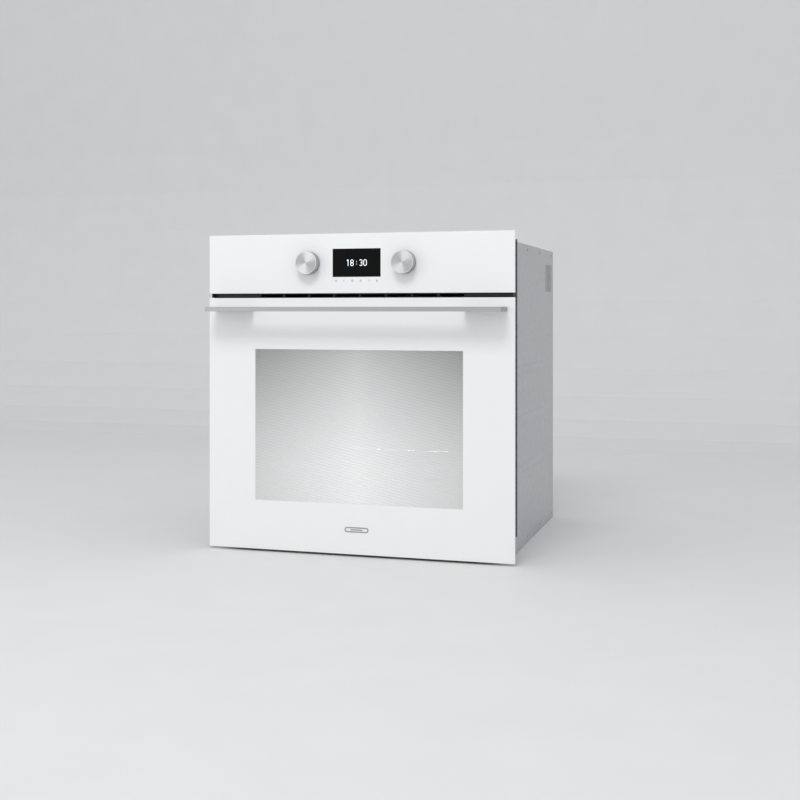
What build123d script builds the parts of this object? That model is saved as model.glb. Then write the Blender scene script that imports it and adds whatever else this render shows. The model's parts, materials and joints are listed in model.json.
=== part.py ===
from build123d import *
from math import cos, pi, sin
import os

# Built-in wall oven with two rotary knobs, a drop-down glass door and a fan-assisted cavity.
# Millimetres. +Z is up, the front faces -Y. The origin is the centre of the casing's underside.

# ---------------------------------------------------------------- overall sizes
FRONT_WIDTH = 595.0
FRONT_HEIGHT = 595.0
CASE_DEPTH = 515.0  # cabinet flange to rear panel
FACE_PROJECTION = 22.0  # glass face ahead of the cabinet flange
FRONT_OVERHANG = 19.5  # front wider than the casing, each side
TOP_OVERHANG = 14.0  # front taller than the casing
FRONT_RAISE = 4.0  # lower edge of the door above the underside

FRONT_EDGE = 0.5  # polished chamfer around each glass
GASKET_LIFT = 0.3  # gasket short of the inner pane

# ---------------------------------------------------------------- sheet, glass and wire
SHEET = 1.0
FLANGE_SEAT = 0.4  # rebate in the flange for the casing side's edge
PLASTIC_WALL = 3.0
RUBBER_EDGE = 0.9
ROUNDING = 1.2  # handle corners
FRAME_SHEET = 1.2
GLASS = 4.0
ROD = 6.5  # heater element
RACK_WIRE = 5.0
SHELF_BAR = 6.0
SHELF_WIRE = 3.0
RUNNING = 0.05  # radial clearance of a shaft in its bore

# ---------------------------------------------------------------- front
PANEL_HEIGHT = 111.0
PANEL_GAP = 8.5  # air gap between door and control panel
KNOB_X = 93.3
KNOB_HEIGHT = 56.5  # knob axis above the control glass's lower edge
KNOB_DIAMETER = 43.0
KNOB_PROUD = 19.0
KNOB_CLEAR = 1.2  # knob skirt to glass
SHAFT = 6.0
DISPLAY_SIZE = (93.8, 51.5)
DISPLAY_CENTRE = 57.0  # above the control glass's lower edge
VENT_RECESS = 20.0
VENT_SLOTS = 8
VENT_SPAN = 404.0
VENT_RIB = 5.0
VENT_SLOT_HEIGHT = 6.0
VENT_WALL = 2.0
VENT_WING_INSET = 3.0  # strip's end from the edge of the front
VENT_WING_START = 5.0  # end return behind the glass face
VENT_WING_WALL = 1.5
CARRIER_INSET = 4.0  # carrier's side from the edge of the front
CARRIER_EDGE = 2.0  # carrier's edge from the glass's edge, top and bottom
KNOB_TAPER = 0.4
KNOB_CHAMFER = 0.8
KNOB_WALL = 2.5
KNOB_HOLLOW = 10.0
SHAFT_PROUD = 14.0
BUSH = 10.0  # encoder's threaded bush
BUSH_HOLE = 12.0
ENCODER_SIZE = (24.0, 26.0)
ENCODER_DEPTH = 9.0
DISPLAY_DEPTH = 10.0
TOUCH_STRIP = 14.0

# ---------------------------------------------------------------- door
DOOR_DEPTH = 34.0  # glass face to the seat of the inner pane
SEAL_SPACE = 3.0  # inner pane to front frame
STILE_INSET = 33.5  # stile's outer side from the edge of the front
STILE_WIDTH = 18.0
STILE_WALL = 1.5
INNER_PANE_DROP = 9.5  # top of the inner pane below the top of the door
INNER_PANE_RAISE = 42.0  # bottom of the inner pane above the bottom of the door
RAIL_HEIGHT = 10.0
KICK_RAISE = 12.0  # stiles and bottom rail above the bottom of the door
MIDDLE_PANE_DEPTH = 18.0
MIDDLE_PANE_EDGE = 5.0
SPACER_LENGTH = 20.0
RAIL_WALL = 2.0
HANDLE_LENGTH = 567.0
HANDLE_THICKNESS = 8.5
HANDLE_PROUD = 50.0
HANDLE_BAR_DEPTH = 18.0
HANDLE_POST_LENGTH = 78.0
HANDLE_DROP = 21.0  # bar axis below the top of the door

# ---------------------------------------------------------------- hinge
PIVOT_DEPTH = 13.0
PIVOT_HEIGHT = 22.0  # above the bottom of the door
PIVOT_PIN = 6.0
ARM_THICKNESS = 4.0
ARM_HEIGHT = 12.0
ARM_DROP = 7.0  # lower edge of the arm below the pivot
ROD_OFFSET = 9.0  # spring rod behind the pivot
ROD_START = 16.8  # cam pin above the pivot with the door shut
ROD_TRAVEL = 12.0
CAM_PIN = 4.0
CAM_CLEAR = 0.1
CAM_WALL = 1.5
DOOR_SWING = pi / 2
JOGGLE_PLAY = 4.0  # stile to the side wall of the frame
SWING_CLEAR = 45.0  # frame side cut away above the bottom of the door
HINGE_CASE_LENGTH = 220.0
HINGE_CASE_SHEET = 1.2
SPRING_WIRE = 1.8
SPRING_DIAMETER = 10.4
SPRING_TURNS = 16
RECEIVER_LENGTH = 50.0
RECEIVER_SHEET = 2.0
RECEIVER_FLANGE = 12.0
ARM_GAP = 16.0  # stile's rear wall starts above the pivot
SPRING_ROD = 6.0
FORK_PLAY = 0.3  # fork leaf to arm
FORK_SHEET = 2.0
FORK_HALF = 3.0
FORK_HEIGHT = 12.0  # leaf above the cam pin
BRIDGE_START = 6.5  # solid part of the fork above the cam pin
STOP_RISE = 22.0  # case floor above the cam pin
STOP_PLATE = 2.0

# ---------------------------------------------------------------- cavity
SIDE_SPACE = 39.0  # cavity wall to casing side
BASE_SPACE = 72.0  # cavity floor above the underside
ROOF_DROP = 42.5  # cavity roof below the top of the door
REAR_SPACE = 90.0  # cavity back to rear panel
CAVITY_CORNER = 14.0
GASKET_WIDTH = 9.0
GASKET_SET = 2.0  # gasket outside the cavity mouth
BLANKET = 24.0
HEATER_SPACE = 10.0  # room under the cavity floor for the lower element
LAMP_INSET = 45.0  # lamp axis from the cavity's left wall
LAMP_DROP = 38.0  # lamp axis below the cavity roof
LAMP_HOLE = 44.0
LAMP_DEPTH = 45.0
LAMP_RIM = 3.0
LAMP_BULB = 22.0
LAMP_CAP = 14.0
FAN_SHAFT_HOLE = 30.0
BLANKET_MOTOR_HOLE = 96.0
BLANKET_LAMP_HOLE = 60.0
DECK_GAP = 4.0  # insulation to the cooling duct

# ---------------------------------------------------------------- cavity fittings
LEVEL_HEIGHTS = (52.0, 130.0, 210.0, 290.0)  # rack levels above the cavity floor
RUNNER_LEVEL = 1
RACK_INSET = 9.0  # rung axis from the cavity wall
RUNG_HALF = 9.0  # half the height of a rung loop
RUNG_BEND = 8.0
RACK_POST_INSET = 20.0
RAIL_LENGTH = 350.0
RAIL_HEIGHT_OUTER = 22.0
RAIL_SHEET = 1.5
RAIL_CLEAR = 0.4
RAIL_WIDTH = 7.0
SHELF_FRONT_SPACE = 18.0  # front bar behind the cavity mouth
SHELF_DEPTH = 340.0
SHELF_PITCH = 29.5
FAN_DIAMETER = 150.0
FAN_WIDTH = 20.0
FAN_BLADES = 12
FAN_COVER_STANDOFF = 40.0
FAN_COVER_WIDTH = 300.0
FAN_COVER_RIM = 15.0
FAN_COVER_MARGIN = 38.0  # cover's edge from the cavity roof and floor
FAN_HOLE = 7.0
FAN_HOLE_RINGS = ((14, 8), (28, 14), (42, 20))  # ring radius, holes in it
AIR_SLOT = (20.0, 6.0)
AIR_SLOT_PITCH = 16.0
AIR_SLOT_ROWS = 13
FAN_SETBACK = 14.0  # wheel's disc ahead of the cavity back
MOTOR_DIAMETER = 56.0
MOTOR_FLANGE = 90.0
MOTOR_FLANGE_DEPTH = 8.0
MOTOR_GAP = 30.0  # motor to rear panel
RING_DIAMETER = 190.0
GRILL_DROP = 13.0  # grill element axis below the cavity roof
GRILL_HALF_WIDTH = 190.0
GRILL_PIVOT = 5.0
GRILL_PIVOT_SETBACK = 18.0  # pivot ahead of the cavity back
ELEMENT_BEND = 12.0
ELEMENT_GAP = 25.0  # opening for an element's ends, each side of the middle
ELEMENT_RETURN = 36.0  # inner hairpins short of the outer ones
PROBE_X = 150.0
PROBE_DROP = 28.0
PROBE_LENGTH = 50.0
PROBE_DIAMETER = 4.0
PROBE_FLANGE = 16.0

# ---------------------------------------------------------------- top deck
VENT_CLEAR = 2.5  # vent strip above the inner pane
BLOWER_DIAMETER = 140.0
BLOWER_WIDTH = 30.0
BLOWER_BLADES = 24
BLOWER_DEPTH = 330.0  # blower axis behind the glass face
BLOWER_SCROLL = 12.0  # housing wall from the wheel's rim
BLOWER_LIFT = 4.0  # wheel above the duct's roof
BLOWER_MOTOR = 60.0
BLOWER_MOTOR_HEIGHT = 14.0
DUCT_FOOT = 16.0

# ---------------------------------------------------------------- casing openings and supply
FOLD = 15.0  # base panel's upturned sides
PRESSED_SLOT = 6.0
SIDE_VENT = (60.0, 16.0, 5)  # slot length, pitch, count
REAR_VENT = (50.0, 14.0, 12)
TOP_VENT = (60.0, 14.0, 10)
VENT_DROP = 60.0  # slots' middle from the panel's edge
SCREW = 3.5
SCREW_GRIP = 9.0
SCREW_HEAD = 8.0
SCREW_INSET = 12.0
TERMINAL_WIDTH = 110.0
TERMINAL_HEIGHT = 64.0
TERMINAL_DEPTH = 42.0
TERMINAL_INSET = 30.0
TERMINAL_DROP = 25.0
COVER_SHEET = 2.0
GLAND_LENGTH = 12.0
GLAND_INSET = 22.0
BLOCK_LENGTH = 50.0
BLOCK_WAYS = 4
BOARD = 1.6
BOARD_STANDOFF = 8.0
BOARD_LENGTH = 160.0
BOARD_PARTS = ((30, 20, 26, 24, 18), (66, 24, 18, 30, 15), (94, 24, 18, 30, 15), (124, 16, 38, 40, 26))

# ---------------------------------------------------------------- door switch
SWITCH_RAISE = 22.0  # above the cavity roof
SWITCH_SIZE = 14.0
SWITCH_INSET = 59.0  # from the cavity's right wall
PLUNGER = 5.0
PLUNGER_BORE = 5.4

# ---------------------------------------------------------------- cabinet fixing
FIXING_INSET = 9.0  # screw line from the edge of the front
FIXING_SPACING = 380.0
FIXING_HEIGHT = 255.0  # pattern centre above the underside
FIXING_HOLE = 2.5
GLAND_BORE = 5.5

# ---------------------------------------------------------------- worked-out places
half_front = FRONT_WIDTH / 2
half_case = half_front - FRONT_OVERHANG
front_base = FRONT_RAISE
front_top = FRONT_RAISE + FRONT_HEIGHT
case_top = front_top - TOP_OVERHANG
panel_base = front_top - PANEL_HEIGHT
door_top = panel_base - PANEL_GAP
flange_y = -CASE_DEPTH / 2
rear_y = CASE_DEPTH / 2
face_y = flange_y - FACE_PROJECTION
glass_back = face_y + GLASS
stile_back = face_y + DOOR_DEPTH
pane_back = stile_back + GLASS
frame_y = pane_back + SEAL_SPACE
frame_back = frame_y + FRAME_SHEET
flange_front = flange_y - FRAME_SHEET

stile_out = half_front - STILE_INSET
stile_in = stile_out - STILE_WIDTH
hinge_x = (stile_out + stile_in) / 2
pivot_y = face_y + PIVOT_DEPTH
pivot_z = front_base + PIVOT_HEIGHT
joggle_x = stile_out + JOGGLE_PLAY
swing_clear_z = front_base + SWING_CLEAR
seat_y = flange_y - FLANGE_SEAT

half_cavity = half_case - SIDE_SPACE
cavity_floor = BASE_SPACE
cavity_roof = door_top - ROOF_DROP
cavity_rear = rear_y - REAR_SPACE
cavity_middle = (cavity_floor + cavity_roof) / 2

knob_z = panel_base + KNOB_HEIGHT
display_z = panel_base + DISPLAY_CENTRE
duct_floor = door_top - INNER_PANE_DROP + VENT_CLEAR
duct_roof = panel_base
half_duct = VENT_SPAN / 2 + VENT_RIB
blower_y = face_y + BLOWER_DEPTH

level_z = [cavity_floor + height for height in LEVEL_HEIGHTS]
shelf_z = level_z[RUNNER_LEVEL] - RAIL_HEIGHT_OUTER / 2
shelf_front = frame_back + SHELF_FRONT_SPACE
rack_x = half_cavity - RACK_INSET
rail_outer_x = rack_x - RACK_WIRE / 2
switch_x = half_cavity - SWITCH_INSET
switch_z = cavity_roof + SWITCH_RAISE
lamp_x = -half_cavity + LAMP_INSET
lamp_z = cavity_roof - LAMP_DROP
HANDS = (("left", -1), ("right", 1))


def slab(x, y, z, mode=Mode.ADD):
    """Add a box that spans the pairs x, y and z, given in either order."""
    with Locations(((x[0] + x[1]) / 2, (y[0] + y[1]) / 2, (z[0] + z[1]) / 2)):
        Box(abs(x[1] - x[0]), abs(y[1] - y[0]), abs(z[1] - z[0]), mode=mode)


def cut(x, y, z):
    """Take a box out of the part being built."""
    slab(x, y, z, Mode.SUBTRACT)


def both(x):
    """The pair that spans -x to x."""
    return (-x, x)


def hand_span(sign, low, high):
    """The pair from low to high on the left (-1) or right (+1) side."""
    return (sign * low, sign * high)


def at_depth(y):
    """The plane across the oven at y; a negative extrusion goes to the rear."""
    return Plane.XZ.offset(-y)


def round_bar(start, end, diameter, mode=Mode.ADD):
    """Add a round bar from start to end."""
    line = Vector(*end) - Vector(*start)
    with BuildSketch(Plane(origin=start, z_dir=line)) as section:
        Circle(diameter / 2)
    extrude(section.sketch, amount=line.length, mode=mode)


def bent_rod(points, bend, diameter):
    """Add a rod along straight runs joined by bends of one radius."""
    with BuildLine() as path:
        FilletPolyline(*points, radius=bend)
    with BuildSketch(Plane(origin=path.line @ 0, z_dir=path.line % 0)) as section:
        Circle(diameter / 2)
    sweep(section.sketch, path=path.line)


def save(block, name):
    """Label a finished piece and write it under its own name."""
    block.part.label = name
    export_step(block.part, f"parts/{name}.step")


os.makedirs("parts", exist_ok=True)

# ================================================================ casing
with BuildPart() as base_panel:
    slab(both(half_case), (frame_y, rear_y - SHEET), (0, SHEET))
    for name, sign in HANDS:
        fold_x = hand_span(sign, half_case - 2 * SHEET, half_case - SHEET)
        slab(fold_x, (frame_back, rear_y - SHEET), (SHEET, FOLD))
save(base_panel, "base_panel")

with BuildPart() as front_frame:
    slab(both(joggle_x), (frame_y, frame_back), (SHEET, case_top - SHEET))
    for name, sign in HANDS:
        slab(hand_span(sign, joggle_x, half_case), (frame_y, frame_back), (SHEET, swing_clear_z))
        wall_x = hand_span(sign, joggle_x - FRAME_SHEET, joggle_x)
        flange_z = (swing_clear_z, case_top - SHEET)
        slab(wall_x, (flange_front, frame_back), flange_z)
        slab(hand_span(sign, joggle_x, half_front), (flange_front, flange_y), flange_z)
        cut(hand_span(sign, joggle_x, half_case), (seat_y, flange_y), flange_z)
        window_x = hand_span(sign, hinge_x - ARM_THICKNESS - 2, hinge_x + ARM_THICKNESS + 2)
        cut(window_x, (frame_y, frame_back), (pivot_z - ARM_DROP - 2, pivot_z + ARM_HEIGHT))
    with BuildSketch(at_depth(frame_y)):
        with Locations((0, cavity_middle)):
            RectangleRounded(2 * half_cavity, cavity_roof - cavity_floor, CAVITY_CORNER)
    extrude(amount=-FRAME_SHEET, mode=Mode.SUBTRACT)
    cut(both(half_duct), (frame_y, frame_back), (duct_floor, duct_roof))
    cut(both(joggle_x - 20), (frame_y, frame_back), (duct_roof + 14, case_top - 12))
    round_bar((switch_x, frame_y, switch_z), (switch_x, frame_back, switch_z), PLUNGER_BORE, Mode.SUBTRACT)
    with Locations(Plane(origin=(0, flange_y, FIXING_HEIGHT), x_dir=(1, 0, 0), z_dir=(0, 1, 0))):
        with GridLocations(2 * (half_front - FIXING_INSET), FIXING_SPACING, 2, 2):
            Hole(FIXING_HOLE, depth=FRAME_SHEET * 2)
save(front_frame, "front_frame")

with BuildPart() as side_panels:
    for name, sign in HANDS:
        with BuildSketch(Plane.YZ.offset(sign * half_case)):
            with BuildLine():
                Polyline(
                    (frame_back, SHEET),
                    (rear_y - SHEET, SHEET),
                    (rear_y - SHEET, case_top - SHEET),
                    (seat_y, case_top - SHEET),
                    (seat_y, swing_clear_z),
                    (frame_back, swing_clear_z),
                    close=True,
                )
            make_face()
        extrude(amount=-sign * SHEET)
        with BuildSketch(Plane.YZ.offset(sign * half_case)):
            with Locations((rear_y - VENT_DROP, case_top - VENT_DROP)):
                with GridLocations(SIDE_VENT[1], 0, SIDE_VENT[2], 1):
                    SlotOverall(SIDE_VENT[0], PRESSED_SLOT, rotation=90)
        extrude(amount=-sign * SHEET, mode=Mode.SUBTRACT)
save(side_panels, "side_panels")

terminal_x = -half_case + TERMINAL_INSET + TERMINAL_WIDTH / 2
terminal_z = case_top - TERMINAL_DROP - TERMINAL_HEIGHT / 2
screw_rows = (cavity_floor + 10, cavity_roof - 20)
screw_columns = both(half_case - SCREW_INSET)

with BuildPart() as rear_panel:
    slab(both(half_case), (rear_y - SHEET, rear_y), (0, case_top - SHEET))
    with BuildSketch(at_depth(rear_y - SHEET)):
        with Locations((terminal_x, terminal_z)):
            Rectangle(TERMINAL_WIDTH, TERMINAL_HEIGHT)
        with Locations((half_case - 130, case_top - VENT_DROP)):
            with GridLocations(REAR_VENT[1], 0, REAR_VENT[2], 1):
                SlotOverall(REAR_VENT[0], PRESSED_SLOT, rotation=90)
        for x in screw_columns:
            for z in screw_rows:
                with Locations((x, z)):
                    Circle(SCREW / 2)
    extrude(amount=-SHEET, mode=Mode.SUBTRACT)
save(rear_panel, "rear_panel")

with BuildPart() as top_cover:
    slab(both(half_case), (flange_y, rear_y), (case_top - SHEET, case_top))
    with BuildSketch(Plane.XY.offset(case_top)):
        with Locations((half_case - 120, rear_y - VENT_DROP)):
            with GridLocations(TOP_VENT[1], 0, TOP_VENT[2], 1):
                SlotOverall(TOP_VENT[0], PRESSED_SLOT, rotation=90)
    extrude(amount=-SHEET, mode=Mode.SUBTRACT)
save(top_cover, "top_cover")

with BuildPart() as casing_screws:
    for x in screw_columns:
        for z in screw_rows:
            round_bar((x, rear_y - SCREW_GRIP, z), (x, rear_y, z), SCREW)
            round_bar((x, rear_y, z), (x, rear_y + 2, z), SCREW_HEAD)
save(casing_screws, "casing_screws")

# ================================================================ cavity
with BuildPart() as cavity_shell:
    with BuildSketch(at_depth(frame_back)):
        with Locations((0, cavity_middle)):
            RectangleRounded(
                2 * (half_cavity + SHEET), cavity_roof - cavity_floor + 2 * SHEET, CAVITY_CORNER + SHEET
            )
            RectangleRounded(2 * half_cavity, cavity_roof - cavity_floor, CAVITY_CORNER, mode=Mode.SUBTRACT)
    extrude(amount=-(cavity_rear - frame_back))
save(cavity_shell, "cavity_shell")

with BuildPart() as cavity_back:
    with BuildSketch(at_depth(cavity_rear)):
        with Locations((0, cavity_middle)):
            RectangleRounded(
                2 * (half_cavity + SHEET), cavity_roof - cavity_floor + 2 * SHEET, CAVITY_CORNER + SHEET
            )
            Circle(FAN_SHAFT_HOLE / 2, mode=Mode.SUBTRACT)
        with Locations((lamp_x, lamp_z)):
            Circle(LAMP_HOLE / 2, mode=Mode.SUBTRACT)
    extrude(amount=-SHEET)
save(cavity_back, "cavity_back")

blanket_in_x = half_cavity + SHEET
blanket_low = cavity_floor - SHEET - HEATER_SPACE
blanket_rear = cavity_rear + SHEET + 4
with BuildPart() as insulation_blanket:
    wool_rear = (blanket_rear, blanket_rear + BLANKET)
    wool_top = duct_floor - DECK_GAP
    slab(both(blanket_in_x + BLANKET), (frame_back, wool_rear[1]), (blanket_low - BLANKET / 2, wool_top))
    cut(both(blanket_in_x), (frame_back, blanket_rear), (blanket_low, cavity_roof + SHEET))
    for x, z, hole in ((0, cavity_middle, BLANKET_MOTOR_HOLE), (lamp_x, lamp_z, BLANKET_LAMP_HOLE)):
        round_bar((x, wool_rear[0], z), (x, wool_rear[1], z), hole, Mode.SUBTRACT)
    cut(both(ELEMENT_GAP), wool_rear, (blanket_low, blanket_low + 2 * HEATER_SPACE))
    cut(
        (switch_x - SWITCH_SIZE / 2, switch_x + SWITCH_SIZE / 2),
        (frame_back, frame_back + 2 * SWITCH_SIZE),
        (cavity_roof + SHEET, wool_top),
    )
    cut(both(ELEMENT_GAP + 20), wool_rear, (cavity_roof - 36, cavity_roof))
save(insulation_blanket, "insulation_blanket")

with BuildPart() as door_gasket:
    gasket_in = (2 * (half_cavity + GASKET_SET), cavity_roof - cavity_floor + 2 * GASKET_SET)
    gasket_out = (gasket_in[0] + 2 * GASKET_WIDTH, gasket_in[1] + 2 * GASKET_WIDTH)
    with BuildSketch(at_depth(frame_y)):
        with Locations((0, cavity_middle)):
            RectangleRounded(*gasket_out, CAVITY_CORNER + GASKET_SET + GASKET_WIDTH)
            RectangleRounded(*gasket_in, CAVITY_CORNER + GASKET_SET, mode=Mode.SUBTRACT)
    extrude(amount=SEAL_SPACE - GASKET_LIFT)
    front_edges = door_gasket.edges().group_by(Axis.Y)[0]
    chamfer(front_edges, RUBBER_EDGE)
save(door_gasket, "door_gasket")

# ================================================================ air path
blower_r = BLOWER_DIAMETER / 2
housing_r = blower_r + BLOWER_SCROLL
duct_rear = blower_y + housing_r
with BuildPart() as cooling_duct:
    slab(both(half_duct), (frame_back, duct_rear), (duct_floor, duct_roof))
    cut(both(half_duct - SHEET), (frame_back, duct_rear - SHEET), (duct_floor + SHEET, duct_roof - SHEET))
    inlet = BLOWER_DIAMETER - 30
    round_bar((0, blower_y, duct_roof - SHEET), (0, blower_y, duct_roof), inlet, Mode.SUBTRACT)
    for x in both(half_duct - 20):
        for y in (frame_back + 40, blower_y):
            with Locations((x, y, duct_floor - DECK_GAP / 2)):
                Box(DUCT_FOOT, DUCT_FOOT, DECK_GAP)
save(cooling_duct, "cooling_duct")

housing_roof = duct_roof + BLOWER_WIDTH + 2 * BLOWER_LIFT
with BuildPart() as blower_housing:
    round_bar((0, blower_y, duct_roof), (0, blower_y, housing_roof), 2 * housing_r)
    bowl_r = housing_r - SHEET
    round_bar((0, blower_y, duct_roof), (0, blower_y, housing_roof - SHEET), 2 * bowl_r, Mode.SUBTRACT)
    round_bar((0, blower_y, housing_roof - SHEET), (0, blower_y, housing_roof), 90, Mode.SUBTRACT)
save(blower_housing, "blower_housing")

motor_roof = housing_roof + BLOWER_MOTOR_HEIGHT
with BuildPart() as blower_motor:
    round_bar((0, blower_y, housing_roof), (0, blower_y, motor_roof), BLOWER_MOTOR)
    slab((-52, 52), (blower_y - 8, blower_y + 8), (housing_roof, housing_roof + 2))
    fillet(blower_motor.edges().group_by(Axis.Z)[-1], 3)
    round_bar((0, blower_y, housing_roof), (0, blower_y, motor_roof - 3), SHAFT + 2 * RUNNING, Mode.SUBTRACT)
save(blower_motor, "blower_motor")


def bladed_wheel(plane, diameter, width, blades, disc=1.5):
    """Add a disc on the plane with slanted blades standing on its rim and a shaft hub."""
    with BuildSketch(plane) as back_disc:
        Circle(diameter / 2)
    extrude(back_disc.sketch, amount=disc)
    with BuildSketch(plane) as blade_ring:
        with PolarLocations(diameter / 2 - 9, blades):
            Rectangle(16, 1.4, rotation=35)
    extrude(blade_ring.sketch, amount=width)
    with BuildSketch(plane) as hub:
        Circle(SHAFT / 2 + 5)
    extrude(hub.sketch, amount=width / 2)


with BuildPart() as blower_wheel:
    wheel_top = duct_roof + BLOWER_LIFT + BLOWER_WIDTH
    wheel_plane = Plane(origin=(0, blower_y, wheel_top), z_dir=(0, 0, -1))
    bladed_wheel(wheel_plane, BLOWER_DIAMETER, BLOWER_WIDTH, BLOWER_BLADES)
    round_bar((0, blower_y, wheel_top), (0, blower_y, motor_roof - 4), SHAFT)
save(blower_wheel, "blower_wheel")

# ================================================================ fan behind the cavity
fan_face = cavity_rear - FAN_COVER_STANDOFF
fan_cover_height = cavity_roof - cavity_floor - 2 * FAN_COVER_MARGIN
with BuildPart() as fan_cover:
    with BuildSketch(at_depth(fan_face)):
        with Locations((0, cavity_middle)):
            RectangleRounded(FAN_COVER_WIDTH, fan_cover_height, FAN_COVER_RIM)
    extrude(amount=-FAN_COVER_STANDOFF)
    with BuildSketch(at_depth(fan_face + SHEET)):
        with Locations((0, cavity_middle)):
            inner_size = (FAN_COVER_WIDTH - 2 * SHEET, fan_cover_height - 2 * SHEET)
            RectangleRounded(*inner_size, FAN_COVER_RIM - SHEET)
    extrude(amount=-FAN_COVER_STANDOFF, mode=Mode.SUBTRACT)
    with BuildSketch(at_depth(fan_face)):
        with Locations((0, cavity_middle)):
            for ring, count in FAN_HOLE_RINGS:
                with PolarLocations(ring, count):
                    Circle(FAN_HOLE / 2)
        with Locations((0, cavity_middle)):
            with GridLocations(FAN_COVER_WIDTH - 36, AIR_SLOT_PITCH, 2, AIR_SLOT_ROWS):
                SlotOverall(*AIR_SLOT)
    extrude(amount=-SHEET, mode=Mode.SUBTRACT)
save(fan_cover, "fan_cover")

with BuildPart() as convection_fan:
    fan_y = cavity_rear - FAN_SETBACK
    fan_plane = Plane(origin=(0, fan_y, cavity_middle), z_dir=(0, -1, 0))
    bladed_wheel(fan_plane, FAN_DIAMETER, FAN_WIDTH, FAN_BLADES)
    round_bar((0, fan_y, cavity_middle), (0, rear_y - MOTOR_GAP - 4, cavity_middle), SHAFT)
save(convection_fan, "convection_fan")

with BuildPart() as convection_motor:
    motor_front = cavity_rear + SHEET
    flange_end = motor_front + MOTOR_FLANGE_DEPTH
    motor_end = rear_y - MOTOR_GAP
    round_bar((0, motor_front, cavity_middle), (0, flange_end, cavity_middle), MOTOR_FLANGE)
    round_bar((0, flange_end, cavity_middle), (0, motor_end, cavity_middle), MOTOR_DIAMETER)
    bore = SHAFT + 2 * RUNNING
    round_bar((0, motor_front, cavity_middle), (0, motor_end - 3, cavity_middle), bore, Mode.SUBTRACT)
save(convection_motor, "convection_motor")

with BuildPart() as ring_heater:
    ring_y = cavity_rear - 20
    with BuildLine() as ring_path:
        CenterArc((0, 0), RING_DIAMETER / 2, -80, 340)
    ring_plane = Plane(origin=(0, ring_y, cavity_middle), x_dir=(1, 0, 0), z_dir=(0, -1, 0))
    ring_line = ring_plane * ring_path.line
    with BuildSketch(Plane(origin=ring_line @ 0, z_dir=ring_line % 0)):
        Circle(ROD / 2)
    sweep(path=ring_line)
    for end in (0, 1):
        tail = ring_line @ end
        round_bar((tail.X, ring_y - ROD / 2, tail.Z), (tail.X, cavity_rear, tail.Z), ROD)
save(ring_heater, "ring_heater")

with BuildPart() as lamp_housing:
    rim_y = cavity_rear - LAMP_RIM
    cup_end = cavity_rear + LAMP_DEPTH
    round_bar((lamp_x, cavity_rear, lamp_z), (lamp_x, cup_end, lamp_z), LAMP_HOLE - 1)
    round_bar((lamp_x, rim_y, lamp_z), (lamp_x, cavity_rear, lamp_z), LAMP_HOLE + 10)
    round_bar((lamp_x, rim_y, lamp_z), (lamp_x, cup_end - 2, lamp_z), LAMP_HOLE - 5, Mode.SUBTRACT)
save(lamp_housing, "lamp_housing")

with BuildPart() as lamp_bulb:
    round_bar((lamp_x, cavity_rear + 25, lamp_z), (lamp_x, cup_end - 2, lamp_z), LAMP_CAP)
    with Locations((lamp_x, cavity_rear + 18, lamp_z)):
        Sphere(LAMP_BULB / 2)
save(lamp_bulb, "lamp_bulb")

with BuildPart() as lamp_glass:
    with BuildSketch(Plane.XY):
        with BuildLine():
            Polyline((0, 0), (25, 0), (21, 8), (0, 11), close=True)
        make_face()
    revolve(axis=Axis.Y)
    with BuildSketch(Plane.XY):
        with BuildLine():
            Polyline((0, 0), (19, 0), (18, 6), (0, 8), close=True)
        make_face()
    revolve(axis=Axis.Y, mode=Mode.SUBTRACT)
lamp_glass.part.locate(Location((lamp_x, rim_y, lamp_z), (180, 0, 0)))
save(lamp_glass, "lamp_glass")

with BuildPart() as temperature_probe:
    probe_z = cavity_roof - PROBE_DROP
    probe_root = (PROBE_X, cavity_rear, probe_z)
    round_bar((PROBE_X, cavity_rear - PROBE_LENGTH, probe_z), probe_root, PROBE_DIAMETER)
    round_bar((PROBE_X, cavity_rear - 2, probe_z), probe_root, PROBE_FLANGE)
save(temperature_probe, "temperature_probe")

with BuildPart() as lower_heater:
    heat_x = half_cavity - 60
    heat_front = frame_back + 50
    heat_rear = cavity_rear - 40
    heat_z = cavity_floor - SHEET - ROD / 2
    half_run = [(heat_x / 2, heat_rear - 60), (heat_x / 2, heat_front), (heat_x, heat_front)]
    half_run += [(heat_x, heat_rear), (15, heat_rear), (15, blanket_rear)]
    left_run = [(-x, y) for x, y in reversed(half_run)]
    bent_rod([(x, y, heat_z) for x, y in left_run + half_run], ELEMENT_BEND, ROD)
save(lower_heater, "lower_heater")

grill_z = cavity_roof - GRILL_DROP
grill_pivot_y = cavity_rear - GRILL_PIVOT_SETBACK
with BuildPart() as grill_heater:
    grill_front = frame_back + 60
    grill_rear = cavity_rear - 62
    lane = GRILL_HALF_WIDTH / 4
    loop = [(-lane / 2, grill_pivot_y, grill_z), (-lane / 2, grill_rear, grill_z)]
    loop += [(-4 * lane, grill_rear, grill_z), (-4 * lane, grill_front, grill_z)]
    hairpin = grill_rear - ELEMENT_RETURN
    loop += [(-3 * lane, grill_front, grill_z), (-3 * lane, hairpin, grill_z)]
    loop += [(-2 * lane, hairpin, grill_z), (-2 * lane, grill_front, grill_z)]
    loop += [(-lane, grill_front, grill_z), (-lane, hairpin, grill_z)]
    loop += [(-x, y, z) for x, y, z in reversed(loop)]
    bent_rod(loop, ELEMENT_BEND, ROD)
    slab(both(34), (grill_pivot_y - 5, grill_pivot_y + 3), (grill_z - 5, grill_z + 5))
    round_bar((-40, grill_pivot_y, grill_z), (40, grill_pivot_y, grill_z), GRILL_PIVOT)
save(grill_heater, "grill_heater")

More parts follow.
